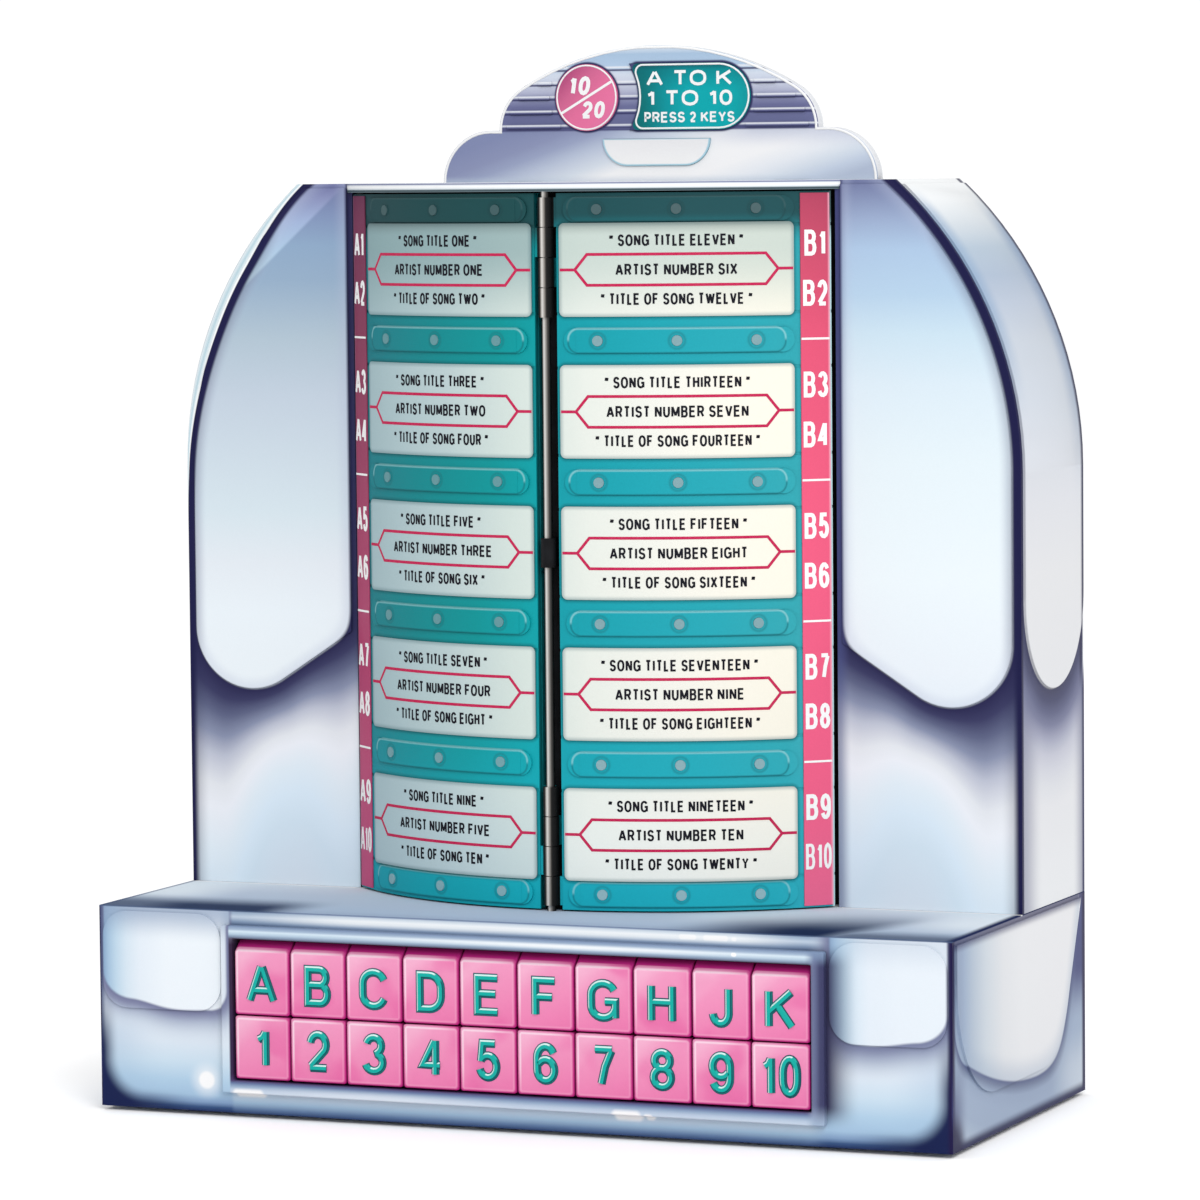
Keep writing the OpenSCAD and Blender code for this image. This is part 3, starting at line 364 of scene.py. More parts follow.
def arc_edge(p):
    """Distance inside the cabinet's outline, seen from the front."""
    return ARC_R - p.hypot(abs(p.x) + (ARC_R - HALF_W), p.high(p.z - SHOULDER_Z, 0.0))


def lobe_foot(p, across):
    """Distance inside the lower edge of a cheek panel: a round foot and a slope up to the bay."""
    sine = math.sin(LOBE_SLOPE)
    cosine = math.cos(LOBE_SLOPE)
    centre_x = HALF_W - LOBE_INSET - LOBE_R
    centre_z = LOBE_FOOT + LOBE_R
    aside = across - (centre_x - LOBE_R * sine)
    above = p.z - (centre_z - LOBE_R * cosine)
    past = above * sine - aside * cosine
    slope = aside * sine + above * cosine
    foot = LOBE_R - p.hypot(across - centre_x, p.low(p.z - centre_z, 0.0))
    lower = foot + p.smooth(past, -0.2, 0.2) * (slope - foot)
    return p.soft_low(lower, across - (BAY_HALF + 2.6), 9.0)


def cheek_face(p, right):
    """Pale cheek panels in painted shade, slate toward the top and greyer on the left, with a painted light
    wedge at the upper left.
    """
    # Painted shade: both cheeks turn slate toward the top, and the left one is greyer than the right.
    right_face = p.ramp(
        p.z, "140 e8f0f8, 150 ebf2f9, 180 ecf5fa, 220 e4f0f6, 245 dae9f3, 262 cae0ee, 275 b6d0e7,"
        "290 adc6e2, 300 9aabcb, 312 737ba2")
    left_face = p.ramp(
        p.z, "140 edf4f9, 165 ebf3f9, 182 e4ebf2, 200 d6e4ec, 240 c3d0de, 260 b2c4d2, 280 96aec7,"
        "292 8fa9c6, 302 8395ba, 312 727aa4")
    # Painted light: a paler wedge across the upper left of the left cheek.
    wedge = (p.x + 92) * -0.667 + (p.z - 311) * 0.745
    tint = p.ramp(p.z, "268 cbe3ec, 280 c0dcea, 290 b0cbe4, 300 a3b5d8, 308 8b93bb, 312 757aa6")
    return p.coats(left_face, (p.smooth(wedge, -0.5, 0.9), tint), (right, right_face))


def cheek_paint(p):
    """Airbrushed front of the cabinet: pale cheek panels over a dark rolled shadow."""
    across = abs(p.x)
    right = p.smooth(p.x, -4, 4)
    left = 1 - right
    edge = arc_edge(p)
    strip = (3.7 * p.smooth(p.z, 196, 268) - 2.2 * p.smooth(p.z, 284, 312)) * left
    inner = edge - strip
    lower = lobe_foot(p, across)
    lobe = p.low(lower, inner - LOBE_INSET)
    # Painted shade just inside the edge of each cheek panel.
    face = p.mix(p.smooth(lobe, 5.0, 0.3) * 0.3, cheek_face(p, right), "b4bdd6")
    # Painted shadow below the cheek panels, dark at their edge and reaching further toward the outer
    # corners.
    longer = 1 - 0.34 * p.smooth(across, 112, 93) - 0.5 * p.smooth(across, 117, 141)
    roll = p.ramp(
        (0.0 - lower) * longer, "0 24224c, 3 3a3b61, 6 5f6585, 9.5 8a92ad, 13 c1c5d5, 18 e8ebf1, 22 f1f4fb,"
        "29 e7f2fb, 38 e0f0fd, 48 daebf8, 66 deeaf6")
    # Painted shade in a navy band along the arc edges.
    narrow = inner / (1 - 0.6 * p.smooth(p.z, 285, 305))
    band = p.high(p.smooth(narrow, 7.5, 0.5) * 0.46, p.smooth(narrow, 4.4, 0.9))
    rim = p.ramp(edge / p.high(strip, 0.05), "0 a9b4bd, 0.12 dfe9ee, 0.45 b9d3dd, 0.8 f6fbfd, 1 ffffff")
    return p.coats(
        roll,
        (p.smooth(lobe, -0.8, 0.6), face),
        # Painted shadow of the right page on the right cheek beside the bay.
        (p.smooth(across - BAY_HALF, 5.0, 0.4) * 0.65 * right, "4c5286"),
        (band, NAVY),
        (p.smooth(inner, 0.25, -0.15) * left, rim))


def flank_paint(p):
    """Airbrushed side of the cabinet: a long pale panel with a round foot, over a painted shadow, with
    painted shade near its edges.
    """
    pad = SIDE_R - p.hypot(p.y - BODY_MID_Y, p.low(p.z - (SIDE_FOOT + SIDE_R), 0.0))
    face = p.ramp(
        p.z, "142 e8e9ec, 182 e8e9ec, 205 e3e5eb, 240 d3dae4, 260 cbd3de, 272 bec9da, 281 b1c0d4,"
        "290 b7c7d7, 298 d7dfe6, 306 f1f4f6, 313 f6f8f9")
    # Painted shadow below the panel, dark at its edge.
    roll = p.ramp(
        0.0 - pad, "0 36375a, 4.5 42456a, 8.5 5d6184, 12.5 797d9c, 17.5 a8abc1, 22.5 c8cad8, 27.5 d6d8e2,"
        "33 e0e2e8, 40 e8e9ed, 68 eceef1")
    below = p.smooth(p.z, 150, 138)
    upper = 1 - below
    rear_shade_band = p.smooth(p.y, REAR_Y - 18, REAR_Y - 4) * p.smooth(p.z, 200, 262) * p.smooth(p.z, 310, 292)
    front_shade_band = p.smooth(p.y, BODY_Y + 15, BODY_Y + 3) * p.smooth(p.z, 230, 275) * p.smooth(p.z, 312, 300)
    return p.coats(
        roll,
        (p.smooth(pad, -0.7, 0.5), face),
        # Painted shade below the panel toward its front and rear edges.
        (p.smooth(p.y, BODY_Y + 22, BODY_Y + 1) * below * 0.62, "6d7193"),
        (p.smooth(p.y, REAR_Y - 13, REAR_Y) * below * 0.7, "6a6d90"),
        # Painted shade in bands near the rear and front edges of the upper flank.
        (rear_shade_band * 0.75, "8099bd"),
        (front_shade_band * 0.6, "8fabcb"),
        (p.smooth(p.y, BODY_Y + 2.6, BODY_Y + 1.2), NAVY),
        (p.peak(p.y, REAR_Y - 3.6, 2.8) * upper, "1d1d48"),
        (p.smooth(p.y, REAR_Y - 1.7, REAR_Y - 1.1) * upper, "fbfcfd"),
        (p.smooth(p.y, REAR_Y - 3.6, REAR_Y - 1.2) * below, "2c2d58"))


def cabinet_enamel():
    """Enamel of the cabinet, front and flanks."""
    p = Paint("cabinet_enamel")
    behind = p.smooth(p.y, BODY_Y + 0.1, BODY_Y + 0.5)
    colour = p.mix(behind, cheek_paint(p), flank_paint(p))
    return p.finish(colour, rough=(0.4, 0.48), specular=0.08)


# Streaks of light on the base front and the bezel: start, end, height and radius
STREAKS = (
    (59.5, 64.0, 67.9, 1.1), (68.0, 75.0, 67.9, 1.2), (77.6, 78.2, 67.8, 0.9), (78.6, 79.2, 63.2, 0.9),
    (-100.2, -91.8, 8.7, 2.1), (37.4, 44.2, 8.4, 2.6), (48.0, 49.0, 8.2, 1.7))
# Middle of a painted spot of light low on the base front, left of the keys.
GLOW = (-112.8, 12.1)


def streak(p, start, end, z, radius):
    """Soft mask of a streak of light on a front face."""
    beyond = p.high(abs(p.x - (start + end) / 2) - (end - start) / 2, 0.0)
    return p.smooth(p.hypot(beyond, p.z - z), radius, radius * 0.35)


def front_lights(p, colour):
    """Streaks and a spot of light across the base front and the bezel."""
    glow = p.hypot(p.x - GLOW[0], p.z - GLOW[1])
    return p.coats(
        colour,
        *[(streak(p, *spot), WHITE) for spot in STREAKS],
        (p.peak(p.x, -50, 60) * p.peak(p.z, 9.6, 2.6) * 0.45, "f2f8fd"),
        (p.smooth(glow, 7.5, 1.5) * 0.6, WHITE),
        (p.smooth(glow, 3.5, 2.2), WHITE))


def pad_inside(p, right, inner):
    """Distance inside the nearer front pad, which has a wavy lower edge."""
    across = abs(p.x)
    wave = p.math("SINE", across * 0.2 + 1.2) * 0.6
    rise = p.z - FRONT_PAD_FOOT - (2.9 - 1.7 * right) * p.smooth(across, 114, 141) + wave
    return p.low(p.meet(FRONT_PAD_OUTER - across, rise, 10.5), p.meet(across - inner, rise, 8.0))


def front_face(p):
    """Base front beside the keys: two pale pads over a rolled shadow, with dark lower corners."""
    right = p.smooth(p.x, -4, 4)
    across = abs(p.x)
    inner = LEFT_PAD_END + right * (RIGHT_PAD_START - LEFT_PAD_END)
    pad = pad_inside(p, right, inner)
    past = 0.0 - pad
    from_left = p.x + FRONT_PAD_OUTER - right * (FRONT_PAD_OUTER + RIGHT_PAD_START)
    # Pads painted with shade at their left edges, toward their tops and at the inner end of the left pad,
    # and lighter toward the outer end of the right pad.
    face = p.coats(
        p.ramp(from_left, "0 86a3c4, 2 a5c2dc, 5 c0d8ea, 9 d8e7f3, 14 e6eff8, 24 eff6fc"),
        (p.smooth(across - inner, 4, 0) * 0.35 * (1 - right), "a3b7d2"),
        (p.smooth(p.x, 118, 130) * 0.6, "e2ebf4"),
        (p.smooth(p.z, 58, 70) * (0.75 - 0.5 * right), "8fa3c1"))
    # Painted shade darkening toward the foot.
    lower = p.ramp(
        p.z, "1.5 1b2b5a, 3 3d5885, 4.6 84a1c5, 7 a8c6e1, 12 b4d1e8, 18 cde1f0, 25 dde8f3, 37 e2ebf5")
    shadow = p.ramp(past, "0 5f628c, 1.5 787da0, 4 a0aac3, 8 c3cede, 13 d6e0ec")
    # Painted shade in the lower outer corners.
    corner = p.meet(HALF_W + 0.6 - across, p.z - (BASE_FOOT - 0.2), 17.0)
    dark = p.smooth(corner, 7.5, 0.8) * p.smooth(across, 114, 142) * p.smooth(p.z, 44, 20)
    return p.coats(
        lower,
        # Painted shade low near the outer ends, and the painted shadow under the pads, deeper on the right.
        (p.smooth(across, 128, 150) * p.smooth(p.z, 40, 25) * 0.4, "9fbbd8"),
        (p.smooth(past, 14, 1.5) * 0.92 * p.smooth(p.z, 16, 27), shadow),
        (right * p.smooth(past, 12, 1) * 0.35, "7d88a6"),
        (p.smooth(pad, -0.6, 0.6), face),
        (p.smooth(across, HALF_W - 2.2, HALF_W - 0.4) * 0.7, "33436f"),
        (dark, "16214e"))


def base_front_paint(p):
    """Airbrushed front of the base, with its rim above, below and beside the keys."""
    # Painted highlight along the rim above the keys: bright (lit) in the middle, dim toward the ends.
    lit = p.ramp(
        p.z, "65.2 7388a8, 65.9 93a8c4, 66.6 ccd9e7, 67.3 edf3f8, 68.2 f6fafd, 69.0 dbe5ef, 70 a9bbd0")
    dim = p.ramp(p.z, "65.2 5f7494, 66.4 8da3c0, 68 c4d3e4, 69 a5b8cf, 70 8397b4")
    shine = p.smooth(p.x, -104, -55) * p.smooth(p.x, 104, 76)
    from_left = p.smooth(p.x, -LEFT_PAD_END - 0.5, -LEFT_PAD_END + 1.5)
    between = from_left * p.smooth(p.x, RIGHT_PAD_START, RIGHT_PAD_START - 8)
    # Painted shade toward the foot of the rim below the keys.
    strip = p.ramp(p.z, "1.5 253a68, 3 5e789e, 5 9ab7d1, 7 c2d6e8, 9 d1dfef")
    beside = p.smooth(p.z, 7, 15) * p.smooth(p.z, 68, 60)
    colour = p.coats(
        front_face(p),
        (between * p.smooth(p.z, 64.6, 65.4), p.mix(shine, dim, lit)),
        (between * p.smooth(p.z, 12, 8), strip),
        # Painted shadow right of the keys.
        (p.peak(p.x, 106.5, 15.0) * beside * 1.15, "3c3b5d"),
        (p.smooth(p.x, HALF_W - 2.4, HALF_W - 0.4), "211845"))
    return front_lights(p, colour)


def base_top_paint(p):
    """Slate-blue deck, painted lighter toward the cabinet, with painted dark streaks of shade near its front
    corners.
    """
    deck = p.ramp(
        p.y, "-69.5 a9bbd6, -58 b7cae2, -40 bfcfe4, -22 c8d6e8, -6 d6e1ee, 2 e4edf5, 70 e4ebf2")
    sway = (p.noise(40, 1.0) - 0.5) * 14
    left = p.smooth(p.x + sway, -72, -98) * p.smooth(p.y + sway * 0.3, -34, -60)
    drift = p.x - 100 - (p.y + 60) * 0.25 + sway
    right = p.smooth(drift, -58, -4) * p.smooth(drift, 24, 6) * p.smooth(p.y, -2, -60)
    corner = p.smooth(p.x, 90, 120) * p.smooth(p.y, -46, -66) * 0.7
    return p.coats(
        deck,
        # Painted light in patches near the ends and right of the middle.
        (p.smooth(abs(p.x), 116, 144) * p.smooth(p.y, -58, -26), "e8f3fc"),
        (p.peak(p.x, 74, 42) * p.peak(p.y, -24, 36), "dfeefb"),
        # Painted dark streaks of shade near the front corners.
        (left * (0.95 - 0.2 * p.smooth(p.x, -122, -142)), "2b395b"),
        (p.high(right, corner), "253354"),
        (p.smooth(p.x, HALF_W - 4, HALF_W - 0.6), "2a335a"),
        (p.smooth(p.y, FRONT_Y + 2.2, FRONT_Y + 0.3) * 0.6, "55688a"),
        # Painted highlight where the deck meets the cheeks.
        (p.peak(p.y, BODY_Y - 0.8, 1.4) * p.smooth(abs(p.x), BAY_HALF, BAY_HALF + 2), WHITE),
        (p.smooth(p.x, -HALF_W + 2.4, -HALF_W + 0.4) * 0.7, "45557a"))


def base_side_paint(p):
    """Airbrushed side of the base: a pale tongue with a bowed lower edge and a leaning rear edge."""
    lean = math.radians(20)
    ahead = p.low(p.y - 21, 0.0)
    bottom = (p.z - 14.2 - ahead * ahead * 0.00237) * 0.96
    rear = (64.0 - p.y) * math.cos(lean) + (p.z - 68.5) * math.sin(lean)
    tongue = p.low(p.meet(p.y + 67.5, bottom, 10.0), p.soft_low(rear, bottom, 30.0))
    # Tongue painted darker toward the front, with painted shade just inside its edge.
    face = p.ramp(
        p.y, "-67 8090b1, -60 9fb1cb, -50 bac7d7, -38 d1dae3, -20 e5e7eb, 0 ecedf0, 66 ededf0")
    face = p.mix(p.smooth(tongue, 9, 0.3) * 0.5, face, "a6b7cd")
    # Painted shadow below the tongue, dark at its edge.
    roll = p.ramp(0.0 - tongue, "0 535d88, 2 75829f, 4.5 9aaac4, 9 a1b1ca, 16 a3b3cb, 26 bccadb")
    corner = p.smooth(p.hypot(p.y - FRONT_Y, p.z - BASE_FOOT), 15, 6)
    return p.coats(
        roll,
        # Painted shade at the upper rear, and a painted light patch at the lower rear.
        (p.smooth(p.y, 44, 62) * p.smooth(p.z, 26, 46), "474d7e"),
        (p.smooth(p.y, 30, 60) * p.smooth(p.z, 26, 8) * 0.7, "d0dae6"),
        (p.smooth(tongue, -0.6, 0.5), face),
        (p.peak(rear, 0.4, 0.9) * p.smooth(p.z, 30, 44), "f6f7f9"),
        (p.smooth(p.z, BASE_TOP - 4.5, BASE_TOP - 1) * 0.85, "4a4a72"),
        (p.smooth(p.z, BASE_FOOT + 4.2, BASE_FOOT + 0.8), "2c2f58"),
        (p.smooth(p.y, FRONT_Y + 3.6, FRONT_Y + 0.6), "1c1744"),
        # Painted shade low toward the front and in the lower front corner.
        (p.smooth(p.y, FRONT_Y + 16, FRONT_Y + 2) * p.smooth(p.z, 36, 12) * 0.7, "3d4272"),
        (corner * 0.9, "1c1744"),
        (p.smooth(p.y, REAR_Y - 4.5, REAR_Y - 1.8), "231f4b"))


def base_rear_paint(p):
    """Plain rear of the base, shaded like the front."""
    colour = p.ramp(p.z, "1.5 2b3a66, 4 7f98bb, 10 a9c3da, 26 cfdae6, 50 e2e8ef, 66 c6d2e0, 70 8d9fba")
    edge = p.rounded(p.x, p.z - (BASE_FOOT + BASE_TOP), HALF_W, BASE_TOP, 12.0)
    return p.mix(p.smooth(edge, 6, 1), colour, "2a3362")


def base_enamel():
    """Enamel of the base on all its sides, dull on the deck."""
    p = Paint("base_enamel")
    deck = p.smooth(p.z, BASE_TOP - 0.5, BASE_TOP - 0.1)
    colour = p.coats(
        base_front_paint(p),
        (p.smooth(p.y, REAR_Y - 0.5, REAR_Y - 0.1), base_rear_paint(p)),
        (p.smooth(abs(p.x), HALF_W - 0.6, HALF_W - 0.2), base_side_paint(p)),
        (deck, base_top_paint(p)))
    return p.finish(colour, rough=(0.4, 0.48), specular=0.08 - 0.08 * deck)


def bezel_chrome():
    """Frame round the keys: pale rails above and below with painted highlights and painted shade at the
    opening, toned into the base at its left and painted as a shadow at its right.
    """
    p = Paint("bezel_chrome")
    beyond = abs(p.x - KEY_SHIFT) - OPENING_HALF
    rise = abs(p.z - sum(OPENING_Z) / 2) - (OPENING_Z[1] - OPENING_Z[0]) / 2
    # Painted shade at the opening and painted highlight lines along the rails.
    top = p.ramp(rise, "-2 3a2a44, 0 595168, 0.8 8799b2, 1.6 b4cadd, 2.6 d6e8f4, 3.2 a9bdd5, 4.3 7e92b2")
    foot = p.ramp(rise, "-2 3a2a4a, 0 503d6a, 0.9 6c7da5, 1.9 97adc9, 2.9 bacbe0, 4.3 d1dfef")
    # The left rail takes the base front's paint, with painted shade along its inner edge.
    left = p.mix(p.smooth(beyond, 1.7, 0.3) * p.smooth(p.z, 8, 15), front_face(p), "565a80")
    # Painted shadow right of the keys.
    right = p.coats(
        p.ramp(beyond, "-2 4a2a48, 0 7d86a6, 1.2 6a7194, 3 484a6e, 4.4 3f4064"),
        (p.smooth(p.z, 16, 8), "a9bdd6"),
        (p.smooth(p.z, 60, 65), "7f93b3"))
    toward = p.smooth(p.x, -1, 1)
    beside = p.smooth(beyond, -2.5, 1.5) * toward + p.smooth(beyond, 0.8, 1.6) * (1 - toward)
    colour = p.coats(
        foot,
        (p.smooth(p.z, 36, 38), top),
        (beside, p.mix(toward, left, right)),
        # Painted light: the inner faces deep beside the keys are painted magenta, lighter than their shade.
        (p.smooth(p.y, -68.5, -66), "8a2a62"),
        # Painted highlight along the top rail.
        (p.peak(p.x, 20, 90) * p.peak(p.z, 63.3, 1.3) * 0.7, WHITE))
    return p.finish(front_lights(p, colour), rough=(0.35, 0.45), specular=0.04)


def key_paint(name, row_z, taller=0.0):
    """Glossy moulded key: pink face painted lighter toward its upper left, with painted highlights on its
    lit edges and painted shade on the others, and magenta flanks painted darker with depth. A face may run
    on up a sloped top.
    """
    p = Paint(name)
    cell = p.math("FLOOR", (p.x - KEY_SHIFT) / KEY_PITCH)
    across = p.x - KEY_SHIFT - (cell + 0.5) * KEY_PITCH
    up = p.z - row_z - taller / 2
    # Face painted lighter toward the upper left.
    face = p.ramp(up - across * 0.35, "-12 ec7db0, -7 ef86b6, -2 f18fbb, 4 f297c0, 9 f39dc4, 13 f5a8cb")
    edge = p.rounded(across, up, KEY_HALF_W, KEY_HALF_H + taller / 2, 1.6)
    lit = p.smooth(up - across, -3, 9)
    line = p.peak(edge, 0.95, 0.6)
    # Flanks painted darker with depth, as shade in the gaps.
    flank = p.ramp(p.y, "-71.9 c2358a, -70.4 b8287c, -68 a81d6c, -64 94205c")
    sloped = p.smooth(p.z - row_z, KEY_HALF_H - 0.5, KEY_HALF_H) * p.smooth(abs(across), KEY_HALF_W, 9.6)
    behind = p.y - KEY_FACE_Y - sloped * taller * KEY_TOP_SLOPE
    colour = p.coats(
        face,
        (p.smooth(p.noise(17, 1.0), 0.52, 0.7) * 0.5, "e560a2"),
        # Painted light: a paler upper left, highlight lines on the lit edges, and painted shade on the
        # others.
        (p.smooth(up - across, 6, 16) * 0.3, "fbd3e5"),
        (line * lit * 0.8, "fde3ef"),
        (line * (1 - lit) * 0.35, "f7b0d0"),
        (p.smooth(edge, 1.0, 0.1) * (1 - lit * 0.6), "c02a80"),
        (p.high(p.smooth(behind, 0.4, 1.0), p.smooth(edge, 0.1, -0.3) * sloped), flank))
    return p.finish(colour, rough=(0.3, 0.4), specular=0.07, grain=1.2)


def legend_teal():
    """Raised teal legends, lit along their upper left and dark at their feet."""
    p = Paint("legend_teal")
    # Painted light and shade: faces turned toward the upper left are painted as highlight, faces turned away
    # as shade.
    toward = p.facing((-0.54, -0.49, 0.69))
    colour = p.coats(
        "12b0a5",
        (p.smooth(toward, 0.36, 0.2), "0b5f66"),
        (p.smooth(toward, 0.56, 0.66), "dcfaf6"),
        (p.smooth(p.y, -72.06, -72.0), "11505c"))
    return p.finish(colour, rough=(0.3, 0.4), specular=0.1, grain=0.9)


def arc_length(p):
    """Distance from the spine along a page."""
    return p.math("ARCTAN2", abs(p.x), PAGE_AXIS_Y - p.y) * PAGE_R


def knuckles(p):
    """Mask and colour of the knuckles on the rod: a painted highlight line between flanks painted near black
    as the shade of the gap.
    """
    steel = p.ramp(
        p.x, "-2.6 0b0c0d, -1.35 101112, -1.05 69645f, -0.35 dedbd6, 0.45 8e8984, 1.0 2b2927, 1.4 101112,"
        "2.6 0b0c0d")
    return p.smooth(p.hypot(p.x, p.y - ROD_Y), 3.2, 2.9), steel


def card_heights():
    """Heights of the card middles from the top card down."""
    return [PAGE_MID_Z + (2 - k) * CARD_PITCH for k in range(CARD_COUNT)]


def card_inside(p, s):
    """Distance inside the rounded outline of the nearest title card."""
    side = (CARD_S[1] - CARD_S[0]) / 2 - abs(s - sum(CARD_S) / 2)
    return p.meet(side, CARD_HALF_H - p.nearest(p.z, card_heights()), CARD_CORNER)


def ridge_lines(p, s):
    """Layers for the lit upper and shaded lower edges of the ridges, and dark rings round the rivets."""
    rise = p.nearest(p.z, RIDGE_Z)
    line = p.peak(p.meet(RIDGE_HALF_W - abs(s - RIVET_S[1]), RIDGE_H / 2 - rise, 3.6), 0.1, 0.6)
    from_top = p.nearest(p.z, [z + RIDGE_H / 2 for z in RIDGE_Z])
    from_foot = p.nearest(p.z, [z - RIDGE_H / 2 for z in RIDGE_Z])
    upper = p.smooth(from_foot - from_top, -1.5, 1.5)
    halo = p.peak(p.hypot(p.nearest(s, RIVET_S), rise), 2.7, 0.8)
    return (line * upper * 0.5, "a9dde0"), (line * (1 - upper) * 0.55, "0b5a62"), (halo * 0.4, "1c6a70")


def page_teal(name, side):
    """Teal page with moulded ridges, paler at its outer edge, and steel knuckles on the rod."""
    p = Paint(name)
    s = arc_length(p)
    # Painted light and shade: the right page lighter, the left page darker as it turns from the light.
    if side > 0:
        face = p.ramp(s + (PAGE_MID_Z - p.z) * 0.08, "0 0e9ca8, 30 18a2b0, 60 23a5b3, 86 33a6b1, 100 4cafba")
        shade = p.smooth(p.z, 292, 303)
    else:
        face = p.ramp(s + (p.z - PAGE_MID_Z) * 0.1, "0 06a3ab, 25 049597, 55 0a8a8f, 86 17828c, 105 1b747c")
        shade = p.smooth(p.z, 289, 300)
    colour = p.coats(
        face,
        (p.smooth(p.z, 150, 76) * 0.6, "14b6ca"),
        *ridge_lines(p, s),
        # Painted shadow round the title cards.
        (p.smooth(card_inside(p, s), -1.6, -0.2) * 0.5, "0a5c62"),
        (p.smooth(s, PAGE_EDGE_S - 1.2, PAGE_EDGE_S - 0.5), "bfe4ea" if side > 0 else "6f9aa6"),
        # Painted shadow of the visor across the top.
        (shade * 0.9, "1d3b3e"),
        (p.smooth(p.hypot(p.x, p.y - PAGE_AXIS_Y), PAGE_R - 0.4, PAGE_R - 0.8), "0d6f76"),
        knuckles(p))
    return p.finish(colour, rough=(0.45, 0.58), specular=0.1, grain=0.7, tint=0.05, relief=0.02)


def inner_teal():
    """Darker pages behind the front ones, with the same knuckles."""
    p = Paint("inner_teal")
    colour = p.coats("128088", (p.smooth(p.noise(9, 3.0), 0.35, 0.65), "158f97"), knuckles(p))
    return p.finish(colour, rough=(0.5, 0.6), specular=0.1, grain=0.7, tint=0.05, relief=0.02)


def rod_steel():
    """Polished rod with a painted highlight line between flanks painted dark as shade."""
    p = Paint("rod_steel")
    colour = p.ramp(p.x, "-1.5 0e0f10, -0.95 4d4a47, -0.35 e2e0dc, 0.35 908c88, 0.9 353331, 1.5 0e0f10")
    return p.finish(colour, rough=(0.25, 0.35), metal=0.2, specular=0.3, grain=1.5)


# Colours of the cards and index strips on the left page, which turns from the light, and on the right
CARD_FACE = {
    -1: "4 d9e4de, 14 d3e0db, 40 bdd0d2, 65 b1c8cd, 85 a9c2c8",
    1: "4 dbe4de, 14 e5eae3, 40 eeeee6, 65 f6f2e5, 85 f7f3e4"}
# Tones of the cards on each page: lighter toward the foot, painted shade toward the head, and a painted
# shaded border.
CARD_TONES = {-1: ("c6dde6", "86a5a8", "6c8c92"), 1: ("f6fdfc", "b9cac4", "7d979a")}
INDEX_FACE = {
    -1: "72 cf5585, 120 c04c78, 190 af466d, 250 93405f, 300 7d3a58, 309 6e3350",
    1: "72 f06c95, 110 f1628a, 205 f05e82, 262 e55778, 290 cc4f6c, 309 b44561"}
INDEX_EDGE = {-1: "8a5f78", 1: "f5b6c9"}


def card_stock(name, side):
    """Cream card with a soft shaded border, greyer on the page that turns from the light."""
    p = Paint(name)
    s = arc_length(p)
    foot, head, border = CARD_TONES[side]
    colour = p.coats(
        p.ramp(s, CARD_FACE[side]),
        (p.smooth(p.z, 130, 84) * 0.4, foot),
        # Painted shade toward the head, under the visor.
        (p.smooth(p.z, 262, 292) * 0.75, head),
        (p.peak(card_inside(p, s), 0, 1.6) * 0.55, border),
        # Painted shadow of the visor along the top.
        (p.smooth(p.z, 295, 301) * 0.7, "5d6b6a"))
    return p.finish(colour, rough=(0.5, 0.62), specular=0.08, grain=0.5, tint=0.03, relief=0.012)


def index_stock(name, side):
    """Pink index strip, painted darker toward the top as shade, and darker on the left page, which turns
    from the light.
    """
    p = Paint(name)
    edge = p.smooth(arc_length(p), INDEX_S[1] - 0.9, INDEX_S[1] - 0.2)
    colour = p.mix(edge * 0.7, p.ramp(p.z, INDEX_FACE[side]), INDEX_EDGE[side])
    return p.finish(colour, rough=(0.45, 0.58), specular=0.1, grain=0.5, tint=0.05, relief=0.012)


def rivet_steel():
    """Dull rivet heads, toned down in the shade at the top and on the left page."""
    p = Paint("rivet_steel")
    colour = p.coats(
        "5d959b",
        (p.smooth(p.x, -4, 4), "83a6ad"),
        (p.noise(1.4, 3.0) * 0.5, "76989f"),
        (p.smooth(p.z, 150, 76) * 0.5, "a5ccd6"),
        (p.smooth(p.z, 285, 300) * 0.85, "31494b"))
    return p.finish(colour, rough=(0.45, 0.6), specular=0.2, grain=0.6, tint=0.06, relief=0.02)


def sign_inside(p):
    """Distance inside the sign's outline, with rounded tips beside the disc."""
    rise = p.z - EMBLEM_Z
    ends = SIGN_R - p.hypot(p.high(p.x - SIGN_END_X, 0.0), rise)
    hollow = p.hypot(p.x - DISC_X, rise) - SIGN_HOLLOW_R
    return p.meet(p.low(ends, p.x - DISC_X), hollow, SIGN_CORNER)


def crest_tier(p):
    """Lower tier: painted slate shade at the left and a painted white highlight right of the middle."""
    tier = p.ramp(
        p.x - (p.z - 322) * 3.0, "-80 868fb5, -58 9199bc, -45 a0aac9, -30 c1cbe0, -12 dde5f0, 2 fbfbfd,"
        "36 fcfcfe, 54 eef2f9, 68 dbe4f0, 80 c8d4e7, 92 b6c2d8")
    return p.coats(
        tier,
        # Painted shade toward the top right and along the foot.
        (p.smooth(p.z, 323, TIER_Z) * p.smooth(p.x, 5, 40) * 0.6, "b4bdd8"),
        (p.smooth(p.z, BODY_TOP + 2.5, BODY_TOP) * 0.5, "c2cfe0"))


